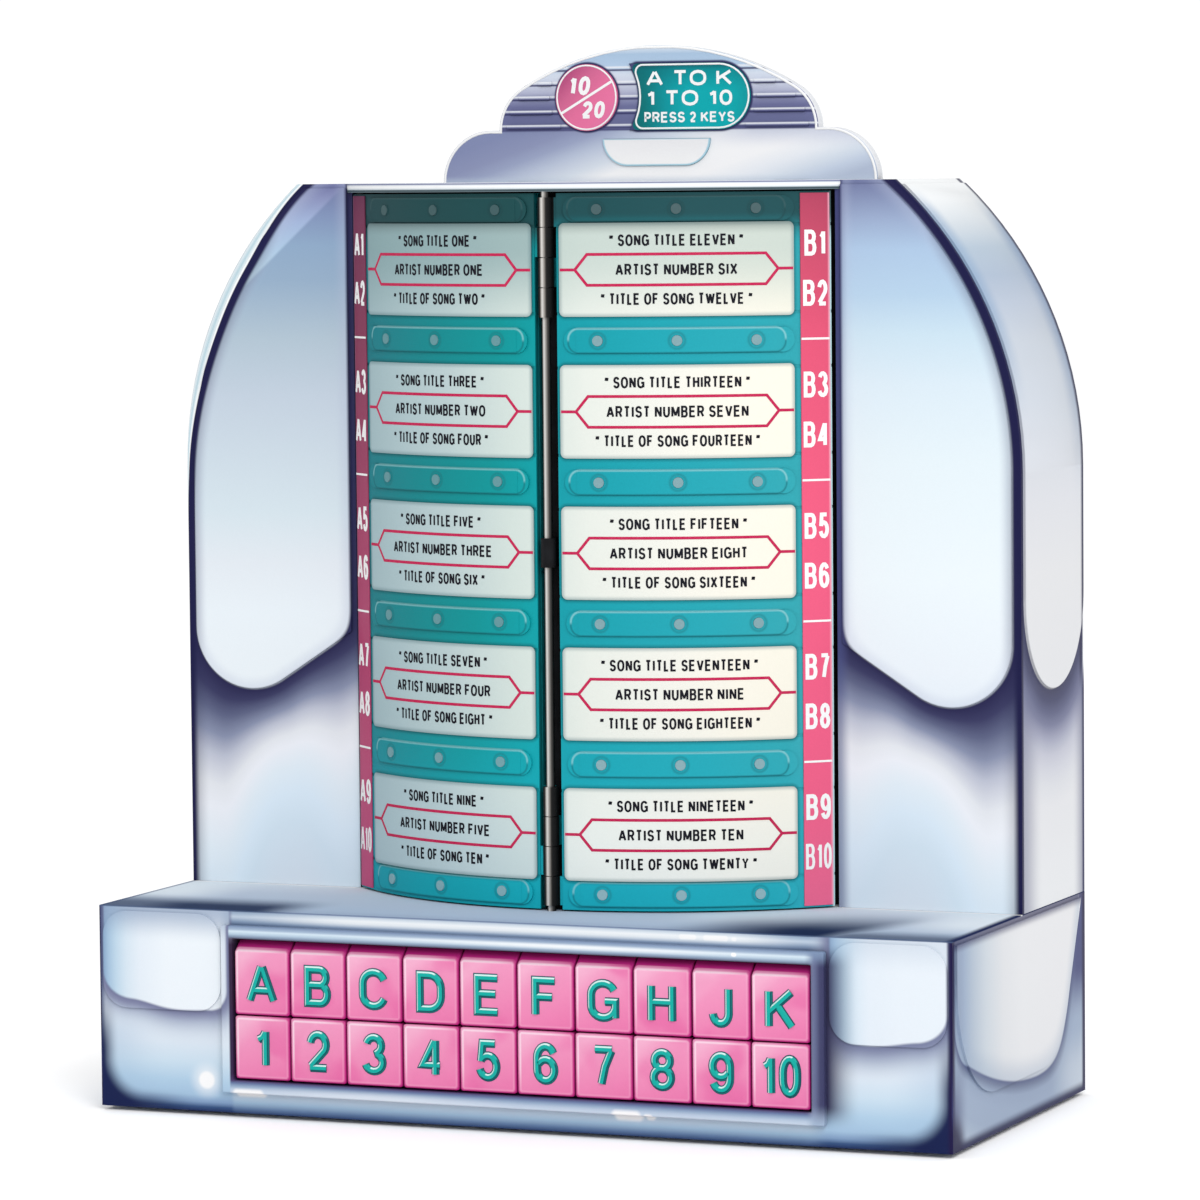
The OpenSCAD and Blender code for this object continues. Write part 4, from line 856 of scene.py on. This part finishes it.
def crest_dome(p):
    """Slate dome with painted highlights on its fins, painted shade in dark lines under them, and a painted
    diagonal highlight.
    """
    dome = p.ramp(
        p.z, "331 8388b0, 333 6b6f98, 339 6f729c, 341.5 8b8fb2, 344 b6bad2, 347 cfd5e6, 350 d7e0ee,"
        "353 b6cee8, 357 adc6e0, 360 e6edf5")
    phase = p.z - EMBLEM_Z + 100.5 * FIN_PITCH
    local = phase - p.math("FLOOR", phase / FIN_PITCH) * FIN_PITCH - FIN_PITCH / 2
    banded = p.smooth(p.z, 354.2, 353.6) * p.smooth(p.z, TIER_Z + 0.2, TIER_Z + 0.6)
    # Painted highlight in a diagonal band across the fins.
    across = abs(p.x + p.z - EMBLEM_Z)
    gleam = p.smooth(across, 82, 78) * p.smooth(across, 70, 75)
    return p.coats(
        dome,
        # Painted highlights on the fins and painted shade in dark lines under them.
        (p.peak(local, 0.35, 0.55) * banded * 0.9, "eef1f7"),
        (p.peak(local, -0.65, 0.6) * banded, "3a3b66"),
        (gleam * banded * 0.35, "dfe3f0"))


def crest_enamel(name):
    """Crest: slate dome over a white tier, with a dark outline and painted shadow round its inlays, and
    white at its edge.
    """
    p = Paint(name)
    disc = p.hypot(p.x - DISC_X, p.z - EMBLEM_Z) - DISC_R
    colour = p.coats(
        crest_tier(p),
        (p.smooth(p.z, TIER_Z - 0.3, TIER_Z + 0.3), crest_dome(p)),
        (p.peak(p.z, TIER_Z, 0.8) * p.smooth(abs(p.x), 60, 58), "4d4f7c"),
        # Dark outline and painted shadow round the disc and the sign.
        (p.smooth(disc, 1.1, 0.4), "3c3d6a"),
        (p.smooth(0.0 - sign_inside(p), 1.2, 0.4), "3c3d6a"),
        (p.smooth(p.y, CREST_Y + 0.6, CREST_Y + 1.2), "eef0f4"))
    return p.finish(colour, rough=(0.4, 0.48), specular=0.08)


def visor_enamel():
    """White ledge over the pages with a dark line along its upper edge, and painted shade along its lower
    edge and underside.
    """
    p = Paint("visor_enamel")
    # Front painted dark along its lower edge as shade, so that the ledge looks thinner.
    front = p.ramp(
        p.z, "310 2f4044, 310.7 53646c, 311.1 dfe8ee, 311.8 ffffff, 312.3 e6ecf3, 312.7 5a5f8c, 313 8b91b4")
    colour = p.coats(
        front,
        (p.smooth(p.z, 312.75, 312.95), p.ramp(p.y, "-40 dfe4ee, -20 c6cddf, 3 b1b9d2")),
        (p.smooth(p.z, 310.3, 310.0), "7f9098"))
    return p.finish(colour, rough=(0.4, 0.5), specular=0.08)


def sign_teal():
    """Teal sign, darker toward its upper left, with its tips toned into the dome."""
    p = Paint("sign_teal")
    colour = p.coats(
        p.ramp(p.x, "-10 04656a, -4 04787a, 4 0398a0, 12 02adb4, 28 00aab0, 35 0a9a9f"),
        (p.smooth(p.z, 343, 353) * 0.6, "006f77"),
        (p.smooth(p.z, 351, 353.2) * 0.6, "0a4a56"),
        (p.smooth(sign_inside(p), 0.1, -0.2), "474a76"))
    return p.finish(colour, rough=(0.4, 0.5), specular=0.1, tint=0.04)


def disc_pink():
    """Pink disc, deeper at its upper left."""
    p = Paint("disc_pink")
    slant = (p.x - DISC_X) - (p.z - EMBLEM_Z)
    colour = p.ramp(slant, "-15 b8507f, -7 d46994, 2 e873a0, 10 ee78a6, 16 e779a8")
    return p.finish(colour, rough=(0.4, 0.5), specular=0.1, tint=0.04)


def window_white():
    """Milky half-moon window with a thin cyan rim."""
    p = Paint("window_white")
    colour = p.ramp(p.z, "318 fbfbfb, 323 f6f6f8, 327.6 efeff2")
    moon = WINDOW_R - p.hypot(p.high(abs(p.x) - WINDOW_FLAT, 0.0), p.z - WINDOW_TOP)
    inside = p.low(WINDOW_TOP - p.z + 0.3, moon)
    colour = p.mix(p.smooth(inside, 0.8, 0.25), colour, "a9d3e4")
    return p.finish(colour, rough=(0.35, 0.45), specular=0.1)


def mottled(name, first, second, rough=(0.4, 0.55), metal=0.0, specular=0.3, grain=1.5):
    """Plain shop finish: two close tones mixed by noise, with matching roughness and height."""
    p = Paint(name)
    colour = p.mix(p.smooth(p.noise(6 * grain, 4.0), 0.35, 0.65), first, second)
    return p.finish(colour, rough=rough, metal=metal, specular=specular, grain=grain, relief=0.01)


def board_green(name):
    """Circuit board with pale copper tracks under the mask."""
    p = Paint(name)
    tracks = p.math("PINGPONG", p.x + p.noise(14, 1.0) * 9, 2.0)
    colour = p.mix(p.smooth(tracks, 0.5, 0.8), "2f7d54", "14563a")
    return p.finish(colour, rough=(0.35, 0.5), specular=0.35, grain=1.0)


def cone_paper():
    """Ribbed paper cone."""
    p = Paint("cone_paper")
    rings = p.math("PINGPONG", p.hypot(abs(p.x) - SPEAKER_X, p.z - SPEAKER_Z), 2.4)
    colour = p.mix(p.smooth(rings, 0.6, 1.8), "26282d", "3a3d44")
    return p.finish(colour, rough=(0.7, 0.85), specular=0.1, grain=0.8, relief=0.05)


def rear_steel():
    """Painted rear cover, faintly blue, darker toward its edge."""
    p = Paint("sheet_steel")
    face = p.ramp(p.z, "70 bcc8d8, 140 d6dee8, 220 dfe6ee, 313 b5c2d6")
    colour = p.mix(p.smooth(arc_edge(p), 14, 3) * 0.7, face, "8f9dbb")
    return p.finish(colour, rough=(0.45, 0.6), specular=0.2, grain=0.9, tint=0.05, relief=0.02)


def print_ink(name, colour, patch):
    """Printed ink with slightly uneven cover."""
    p = Paint(name)
    uneven = p.mix(p.smooth(p.noise(0.9, 2.0), 0.3, 0.7) * 0.3, colour, patch)
    return p.finish(uneven, rough=(0.5, 0.6), specular=0.08, grain=0.4, tint=0.04)


def dress(node, material, bevel=0.0):
    """Gives a CAD node its material, and eased edges where a width in millimetres is given."""
    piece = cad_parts[node]
    piece.data.materials.clear()
    piece.data.materials.append(material)
    if bevel:
        weld = piece.modifiers.new("weld", "WELD")
        weld.merge_threshold = 1e-6
        ease = piece.modifiers.new("ease", "BEVEL")
        ease.width = bevel * MM
        ease.segments = 2
        ease.limit_method = "ANGLE"
        ease.angle_limit = math.radians(40)
        ease.harden_normals = True


def add_piece(name, mesh, material, body):
    """Links a finished mesh as a piece that rides on a body."""
    piece = bpy.data.objects.new(name, mesh)
    mesh.name = name
    mesh.materials.append(material)
    bpy.context.scene.collection.objects.link(piece)
    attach(piece, body)
    return piece


# Letter shapes: width as a share of the height, then strokes in a unit square, with a bar between them.
# A stroke's items are points, or arcs as centre, radii, and start and end angle.
GLYPHS = {
    "A": (0.86, "0 0, .47 1 | .53 1, 1 0 | .2 .3, .8 .3"),
    "B": (0.73, "0 0, 0 1, .6 .77 .34 .23 90 -60, .64 .27 .36 .27 60 -90, 0 0 | 0 .54, .72 .54"),
    "C": (0.8, ".5 .66 .5 .34 20 180, .5 .34 .5 .34 180 340"),
    "D": (0.77, "0 0, 0 1, .45 .62 .55 .38 90 0, .45 .38 .55 .38 0 -90, 0 0"),
    "E": (0.74, "1 1, 0 1, 0 0, 1 0 | 0 .53, .9 .53"),
    "F": (0.72, "1 1, 0 1, 0 0 | 0 .52, .86 .52"),
    "G": (0.84, ".5 .66 .5 .34 25 180, .5 .34 .5 .34 180 345 | .58 .47, 1 .47, 1 0"),
    "H": (0.75, "0 0, 0 1 | 1 0, 1 1 | 0 .53, 1 .53"),
    "I": (0.27, ".5 0, .5 1"),
    "J": (0.6, "1 1, .5 .3 .5 .3 0 -175"),
    "K": (0.8, "0 0, 0 1 | .97 1, 0 .4 | .36 .62, 1 0"),
    "L": (0.62, "0 1, 0 0, 1 0"),
    "M": (0.92, "0 0, 0 1 | 1 0, 1 1 | .03 .98, .5 .1 | .5 .1, .97 .98"),
    "N": (0.76, "0 0, 0 1 | 1 0, 1 1 | .05 .97, .95 .03"),
    "O": (0.84, ".5 .62 .5 .38 0 180, .5 .38 .5 .38 180 360, 1 .62"),
    "P": (0.7, "0 0, 0 1, .6 .73 .4 .27 90 -90, 0 .46"),
    "R": (0.76, "0 0, 0 1, .6 .74 .38 .26 90 -90, 0 .48 | .55 .48, 1 0"),
    "S": (0.74, ".5 .745 .47 .255 12 230, .5 .255 .5 .255 50 -170"),
    "T": (0.72, "0 1, 1 1 | .5 1, .5 0"),
    "U": (0.75, "0 1, .5 .34 .5 .34 180 360, 1 1"),
    "V": (0.8, "0 1, .48 0 | .52 0, 1 1"),
    "W": (1.1, "0 1, .26 0 | .26 0, .5 .95 | .5 .95, .74 0 | .74 0, 1 1"),
    "X": (0.8, "0 0, 1 1 | 0 1, 1 0"),
    "Y": (0.8, "0 1, .5 .45, 1 1 | .5 .45, .5 0"),
    "0": (0.64, ".5 .6 .5 .4 0 180, .5 .4 .5 .4 180 360, 1 .6"),
    "1": (0.44, ".85 1, .85 0 | .1 .76, .5 .82, .8 .97"),
    "2": (0.64, ".5 .7 .48 .3 170 -35, .04 .05 | 0 0, 1 0"),
    "3": (0.64, ".47 .76 .45 .24 165 -60, .47 .26 .53 .26 60 -165"),
    "4": (0.68, ".74 0, .74 1 | .68 .98, .02 .27, 1 .27"),
    "5": (0.64, ".92 1, .17 1, .07 .47 | .49 .32 .51 .32 145 -165"),
    "6": (0.65, ".5 .66 .5 .34 25 180, .5 .31 .5 .31 180 505"),
    "7": (0.64, "0 1, 1 1 | .96 .97, .58 .5, .36 0"),
    "8": (0.65, ".5 .765 .44 .235 0 360 | .5 .27 .5 .27 90 450"),
    "9": (0.65, ".5 .34 .5 .34 205 360, .5 .69 .5 .31 0 325"),
    "\"": (0.5, ".05 .68, .3 1 | .7 .68, .95 1"),
    " ": (0.24, ""),
}
LETTER_GAP = 0.14
SHARPEST_JOIN = 0.6
SINK = 0.02
STROKE_LIFT = 0.004


def arc(centre, radii, start, end, step):
    """Points of an arc, from a start to an end angle in degrees."""
    count = max(2, math.ceil(abs(end - start) / step))
    turns = [math.radians(start + (end - start) * i / count) for i in range(count + 1)]
    return [(centre[0] + radii[0] * math.cos(t), centre[1] + radii[1] * math.sin(t)) for t in turns]


def ring(x, z, radius, start, end, step):
    """Points of a round arc about (x, z)."""
    return arc((x, z), (radius, radius), start, end, step)


def stroke_points(stroke, step):
    """Points of one stroke of a letter, with its arcs worked out and repeats left out."""
    points = []
    for text in stroke.split(","):
        item = [float(number) for number in text.split()]
        fresh = [item] if len(item) == 2 else arc(item[:2], item[2:4], item[4], item[5], step)
        for point in fresh:
            if not points or (Vector(point) - Vector(points[-1])).length > 1e-4:
                points.append(point)
    return points


def write(words, height, weight, narrow=1.0, slant=0.0, step=30):
    """Centre lines of words in millimetres, centred on the origin, for strokes of a given weight."""
    widths = [GLYPHS[letter][0] * narrow * height for letter in words]
    gap = LETTER_GAP * narrow * height
    start = -(sum(widths) + gap * (len(words) - 1)) / 2
    lines = []
    for letter, width in zip(words, widths):
        for stroke in filter(None, GLYPHS[letter][1].split("|")):
            line = []
            for x, z in stroke_points(stroke, step):
                up = weight / 2 + z * (height - weight) - height / 2
                line.append(Vector((start + weight / 2 + x * (width - weight) + slant * up, up)))
            lines.append(line)
        start += width + gap
    return lines


def skin(solid, rings, closed):
    """Joins rings of vertices to a closed surface, with end faces unless the rings close."""
    pairs = list(zip(rings, rings[1:])) + ([(rings[-1], rings[0])] if closed else [])
    for first, second in pairs:
        for j in range(len(first)):
            k = (j + 1) % len(first)
            solid.faces.new((first[j], first[k], second[k], second[j]))
    if not closed:
        solid.faces.new(rings[0][::-1])
        solid.faces.new(rings[-1])


def sweep(solid, line, profile, place):
    """Adds a solid along a flat line to a bmesh: a profile of (sideways, out) points, laid by a map."""
    closed = (line[0] - line[-1]).length < 1e-3
    line = line[:-1] if closed else line
    count = len(line)
    steps = [(line[(i + 1) % count] - line[i]).normalized() for i in range(count if closed else count - 1)]
    rings = []
    for i, spot in enumerate(line):
        before = steps[i - 1] if i or closed else steps[0]
        after = steps[i] if i < len(steps) else steps[-1]
        mean = (before + after).normalized()
        side = Vector((-mean.y, mean.x)) / max(mean.dot(after), SHARPEST_JOIN)
        section = [(*(spot + side * sideways), out) for sideways, out in profile]
        rings.append([solid.verts.new(Vector(place(*point)) * MM) for point in section])
    skin(solid, rings, closed)


def flat_profile(width, depth):
    """Cross-section of a printed line."""
    return [(-width / 2, -SINK), (-width / 2, depth), (width / 2, depth), (width / 2, -SINK)]


def built(solid, crease=45):
    """Mesh from a bmesh, with its faces outward and its edges below a crease angle smooth."""
    bmesh.ops.recalc_face_normals(solid, faces=solid.faces)
    mesh = bpy.data.meshes.new("piece")
    solid.to_mesh(mesh)
    solid.free()
    mesh.shade_smooth()
    mesh.set_sharp_from_angle(angle=math.radians(crease))
    return mesh


def add_words(solid, words, place, height, weight, depth, narrow=1.0, slant=0.0):
    """Adds printed words to a bmesh. Strokes differ by a hair in height, so that they can cross."""
    for i, line in enumerate(write(words, height, weight * height, narrow, slant)):
        sweep(solid, line, flat_profile(weight * height, depth + STROKE_LIFT * (i % 3)), place)


def page_point(side, s, z, lift):
    """Point on a page at arc length s, height z and a lift off its face."""
    turn = s / PAGE_R
    radius = PAGE_R + lift
    return side * radius * math.sin(turn), PAGE_AXIS_Y - radius * math.cos(turn), z


def on_page(side, s, z):
    """Map that lays a flat drawing on the cards and strip of a page, centred at (s, z)."""
    return lambda across, up, out: page_point(side, s + side * across, z + up, CARD_LIFT + out)


def on_front(x, z, y):
    """Map that stands a flat drawing on a face toward -Y."""
    return lambda across, up, out: (x + across, y - out, z + up)


def bowed_cards(side):
    """Five bowed title cards of one page with round corners."""
    s0, s1 = CARD_S
    corner = ring(CARD_CORNER, CARD_CORNER, CARD_CORNER, 180, 270, 15)
    flat = s1 - s0 - 2 * CARD_CORNER
    columns = [(s0 + along, drop) for along, drop in corner]
    columns += [(s0 + CARD_CORNER + flat * i / CARD_STEPS, 0.0) for i in range(1, CARD_STEPS)]
    columns += [(s1 - along, drop) for along, drop in reversed(corner)]
    cards = bmesh.new()
    low = CARD_LIFT - CARD_T
    for z in card_heights():
        rings = []
        for s, drop in columns:
            half = CARD_HALF_H - drop
            spots = ((z + half, CARD_LIFT), (z + half, low), (z - half, low), (z - half, CARD_LIFT))
            rings.append([cards.verts.new(Vector(page_point(side, s, up, lift)) * MM) for up, lift in spots])
        skin(cards, rings, False)
    return built(cards)


HEX_POINT = 34.0
HEX_FLAT = 29.8
HEX_HALF_H = 5.1
HEX_LINE = 0.95
INK_T = 0.05
TITLE_RISE = 9.7
TITLE_H = 3.9
TITLE_WEIGHT = 0.18
NUMBERS = (
    "ONE TWO THREE FOUR FIVE SIX SEVEN EIGHT NINE TEN ELEVEN TWELVE THIRTEEN FOURTEEN FIFTEEN SIXTEEN "
    "SEVENTEEN EIGHTEEN NINETEEN TWENTY").split()


def run(start, end, steps):
    """Points along a straight line, so that it can bend with a page."""
    return [Vector(start).lerp(Vector(end), i / steps) for i in range(steps + 1)]


def hexagon():
    """Closed outline of the frame round an artist's line."""
    left = Vector((-HEX_POINT, 0))
    upper = run((-HEX_FLAT, HEX_HALF_H), (HEX_FLAT, HEX_HALF_H), 16)
    lower = [-spot for spot in upper]
    return [left] + upper + [-left] + lower + [left]


def add_page_print(side, word, crimson, ink, white):
    """Cards, frames, titles and index labels of one page."""
    body = word + "_page"
    middle = sum(CARD_S) / 2
    reach = (CARD_S[1] - CARD_S[0]) / 2 - 0.3
    stock = card_stock(word + "_card_stock", side)
    cards = add_piece(word + "_cards", bowed_cards(side), stock, body)
    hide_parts(word + "_title_cards")
    frames = bmesh.new()
    titles = bmesh.new()
    line = flat_profile(HEX_LINE, INK_T)
    for k, z in enumerate(card_heights()):
        lay = on_page(side, middle, z)
        sweep(frames, hexagon(), line, lay)
        for end in (-1, 1):
            sweep(frames, run((end * (HEX_POINT + 0.3), 0), (end * reach, 0), 2), line, lay)
        song = 2 * k + (0 if side < 0 else 2 * CARD_COUNT)
        for rise, words, narrow in (
                (TITLE_RISE, "\" SONG TITLE " + NUMBERS[song] + " \"", 0.74),
                (0.0, "ARTIST NUMBER " + NUMBERS[song // 2], 0.78),
                (-TITLE_RISE, "\" TITLE OF SONG " + NUMBERS[song + 1] + " \"", 0.72)):
            add_words(titles, words, on_page(side, middle, z + rise), TITLE_H, TITLE_WEIGHT, INK_T, narrow)
    add_piece(word + "_frames", built(frames), crimson, body)
    add_piece(word + "_titles", built(titles), ink, body)
    add_index_labels(side, word, white)


INDEX_RISE = 8.3
INDEX_H = 8.6
INDEX_LINE = 0.7
PRINT_T = 0.1


def add_index_labels(side, word, white):
    """Ten index labels and their dividing lines on one strip."""
    middle = sum(INDEX_S) / 2
    half = (INDEX_S[1] - INDEX_S[0]) / 2 - 0.2
    letter = "A" if side < 0 else "B"
    labels = bmesh.new()
    for k, z in enumerate(card_heights()):
        for i in range(2):
            label = letter + str(2 * k + i + 1)
            narrow, weight = (0.68, 0.155) if len(label) == 2 else (0.52, 0.115)
            place = on_page(side, middle, z + INDEX_RISE * (1 - 2 * i))
            add_words(labels, label, place, INDEX_H, weight, PRINT_T, narrow)
    for z in RIDGE_Z[1:-1]:
        divider = run((-half, 0), (half, 0), 3)
        sweep(labels, divider, flat_profile(INDEX_LINE, PRINT_T), on_page(side, middle, z))
    add_piece(word + "_index_labels", built(labels), white, word + "_page")


LEGEND_H = 13.4
LEGEND_WEIGHT = 2.1
LEGEND_RISE = 0.55
LEGEND_CREASE = 13
LEGEND_SETBACK = 0.012


def legend_profile():
    """Cross-section of a raised legend: a low dark foot under a flat-topped bar."""
    half = LEGEND_WEIGHT / 2
    foot = half + 0.4
    right = [(0.56 * half, LEGEND_RISE), (half, 0.14), (foot, 0.07), (foot, -SINK)]
    return [(-side, out) for side, out in reversed(right)] + right


def add_legends(teal):
    """A raised legend on each key, which rides with the key. Each stroke sits a hair behind the last."""
    numbers = [str(n + 1) for n in range(len(LETTERS))]
    profile = legend_profile()
    for z, marks in ((LETTER_Z, LETTERS), (NUMBER_Z, numbers)):
        for column, mark in enumerate(marks):
            x = KEY_SHIFT + (column - (len(marks) - 1) / 2) * KEY_PITCH
            narrow = 0.94 if len(mark) == 1 else 0.82
            legend = bmesh.new()
            for i, line in enumerate(write(mark, LEGEND_H, LEGEND_WEIGHT, narrow, step=15)):
                sweep(legend, line, profile, on_front(x, z, KEY_FACE_Y + LEGEND_SETBACK * i))
            key = "key_" + mark.lower()
            add_piece(key + "_legend", built(legend, LEGEND_CREASE), teal, key)


def crest_outline(inset):
    """Outline of the crest from its right foot to its left, moved inward."""
    tier_x, tier_r = TIER_CORNER
    end_x, end_r = DOME_END
    arc_z, arc_r = DOME_ARC
    corner = ring(tier_x, BODY_TOP, tier_r - inset, 0, 90, 7.5)
    end = ring(end_x, TIER_Z, end_r - inset, -2, DOME_TANGENT, 6)
    dome = ring(0, arc_z, arc_r - inset, DOME_TANGENT, 90, 4)
    half = corner + end + dome[1:-1]
    return half + [(-x, z) for x, z in reversed(half)]


def sign_outline(inset):
    """Closed outline of the sign with rounded tips beside the disc, moved inward."""
    reach = SIGN_HOLLOW_R + SIGN_CORNER
    rise = SIGN_R - SIGN_CORNER
    tip_x = DISC_X + math.sqrt(reach * reach - rise * rise)
    tip_r = SIGN_CORNER - inset
    lean = math.degrees(math.asin(rise / reach))
    end = ring(SIGN_END_X, EMBLEM_Z, SIGN_R - inset, -90, 90, 10)
    upper = ring(tip_x, EMBLEM_Z + rise, tip_r, 90, 180 + lean, 15)
    hollow = ring(DISC_X, EMBLEM_Z, SIGN_HOLLOW_R + inset, lean, -lean, 8)
    lower = ring(tip_x, EMBLEM_Z - rise, tip_r, 180 - lean, 270, 15)
    return end + upper + hollow[1:-1] + lower + end[:1]


def bead_profile(width, rise):
    """Cross-section of a half-round bead."""
    return [(-width / 2, -0.05), *arc((0, 0), (width / 2, rise), 180, 0, 30), (width / 2, -0.05)]


def add_trim(name, outline, y, width, rise, white):
    """White bead along an outline on a front face."""
    solid = bmesh.new()
    sweep(solid, [Vector(point) for point in outline], bead_profile(width, rise), on_front(0, 0, y))
    add_piece(name, built(solid), white, "cabinet")


# Lines on the sign: height above its middle, letter height, width and words.
# Numbers on the disc: distances across and above its middle, letter height and words.
SIGN_LINES = ((6.3, 5.4, 1.34, "A TO K"), (-0.6, 5.4, 1.34, "1 TO 10"), (-7.2, 3.7, 0.96, "PRESS 2 KEYS"))
SIGN_TEXT_X = 12.5
SIGN_WEIGHT = 0.19
DISC_NUMBERS = ((-2.6, 4.1, 6.6, "10"), (2.6, -4.3, 6.0, "20"))
DISC_WEIGHT = 0.22
DISC_SLANT = 0.16
DISC_BAR = Vector((9.4, 5.4))
TRIM_INSET = 0.5


def add_crest_trim(white):
    """White trim round the crest, the disc and the sign, with plain lettering."""
    add_trim("crest_rim", crest_outline(TRIM_INSET), CREST_Y, 0.9, 0.3, white)
    disc_edge = ring(DISC_X, EMBLEM_Z, DISC_R - TRIM_INSET, 0, 360, 7.5)
    add_trim("disc_ring", disc_edge, INLAY_Y, 0.6, 0.25, white)
    add_trim("sign_ring", sign_outline(TRIM_INSET), INLAY_Y, 0.65, 0.25, white)
    disc = bmesh.new()
    sweep(disc, run(-DISC_BAR, DISC_BAR, 1), flat_profile(0.9, PRINT_T), on_front(DISC_X, EMBLEM_Z, INLAY_Y))
    for across, rise, height, words in DISC_NUMBERS:
        place = on_front(DISC_X + across, EMBLEM_Z + rise, INLAY_Y)
        add_words(disc, words, place, height, DISC_WEIGHT, PRINT_T, 1.0, DISC_SLANT)
    add_piece("disc_print", built(disc), white, "cabinet")
    sign = bmesh.new()
    for rise, height, narrow, words in SIGN_LINES:
        place = on_front(SIGN_TEXT_X, EMBLEM_Z + rise, INLAY_Y)
        add_words(sign, words, place, height, SIGN_WEIGHT, PRINT_T, narrow)
    add_piece("sign_print", built(sign), white, "cabinet")


def dress_nodes():
    """Materials and eased edges of the nodes that show as they are."""
    letter_key = key_paint("key_magenta", LETTER_Z, KEY_FACE_RUN)
    number_key = key_paint("key_pink", NUMBER_Z)
    for column, letter in enumerate(LETTERS):
        dress("key_" + letter.lower(), letter_key, KEY_BEVEL)
        dress("key_" + str(column + 1), number_key, KEY_BEVEL)
    steel = mottled(
        "bright_steel", "c9cdd0", "a9aeb3", rough=(0.22, 0.34), metal=0.65, specular=0.4, grain=0.8)
    for nodes, material, *bevel in (
            ("base_shell", base_enamel(), 0.4),
            ("cabinet_shell", cabinet_enamel(), 0.4),
            ("key_bezel", bezel_chrome(), 0.6),
            ("crest_shell", crest_enamel("crest_enamel"), 0.2),
            ("crest_back", crest_enamel("crest_back_enamel"), 0.2),
            ("top_visor", visor_enamel(), 0.3),
            ("left_page", page_teal("left_page_teal", -1)),
            ("right_page", page_teal("right_page_teal", 1)),
            ("left_inner_page right_inner_page", inner_teal()),
            ("left_index_strip", index_stock("left_index_stock", -1)),
            ("right_index_strip", index_stock("right_index_stock", 1)),
            ("left_page_rivets right_page_rivets", rivet_steel()),
            ("page_rod", rod_steel()),
            ("page_drum", mottled("drum_black", "0d0d10", "17181c", rough=(0.5, 0.65), specular=0.1)),
            ("price_disc", disc_pink()),
            ("sign_panel", sign_teal()),
            ("crest_window", window_white()),
            ("switch_board", board_green("switch_board_green")),
            ("amplifier_board", board_green("amplifier_green")),
            ("speaker_cones", cone_paper()),
            ("speaker_magnets", mottled("magnet_iron", "3a3b3f", "4b4c50", rough=(0.55, 0.7), metal=0.4)),
            ("rubber_feet", mottled("rubber", "1c1c1e", "2a2a2d", rough=(0.75, 0.9), specular=0.1)),
            ("volume_pot", mottled("pot_metal", "8d8f93", "a7a9ad", rough=(0.4, 0.55), metal=0.6)),
            ("base_screws rear_screws key_springs", steel),
            ("rear_cover bottom_plate coin_box coin_chute transformer speaker_frames", rear_steel()),
            ("key_guide key_switches cord_gland volume_wheel",
             mottled("black_plastic", "1a1a1d", "26272b", rough=(0.45, 0.6)))):
        for node in nodes.split():
            dress(node, material, *bevel)


def add_floor():
    """Plain white floor."""
    mesh = bpy.data.meshes.new("floor")
    corners = [(x * FLOOR_REACH, y * FLOOR_REACH, 0) for x, y in ((-1, -1), (1, -1), (1, 1), (-1, 1))]
    mesh.from_pydata(corners, [], [(0, 1, 2, 3)])
    p = Paint("floor_white")
    colour = p.scaled(p.mix(p.noise(80, 2.0), WHITE, "fdfdfd"), FLOOR_WHITE / WHITE_LEVEL)
    mesh.materials.append(p.finish(colour, rough=(0.6, 0.7), specular=0.0, grain=60.0, tint=0.002))
    floor = bpy.data.objects.new("floor", mesh)
    bpy.context.scene.collection.objects.link(floor)


add_camera()
add_studio()
add_floor()
dress_nodes()
crimson = print_ink("crimson_ink", "c41f50", "cf4a72")
ink = print_ink("navy_ink", "12121c", "24242f")
white = print_ink("white_enamel", "fdfdfd", "f1f3f5")
add_page_print(-1, "left", crimson, ink, white)
add_page_print(1, "right", crimson, ink, white)
add_legends(legend_teal())
add_crest_trim(white)
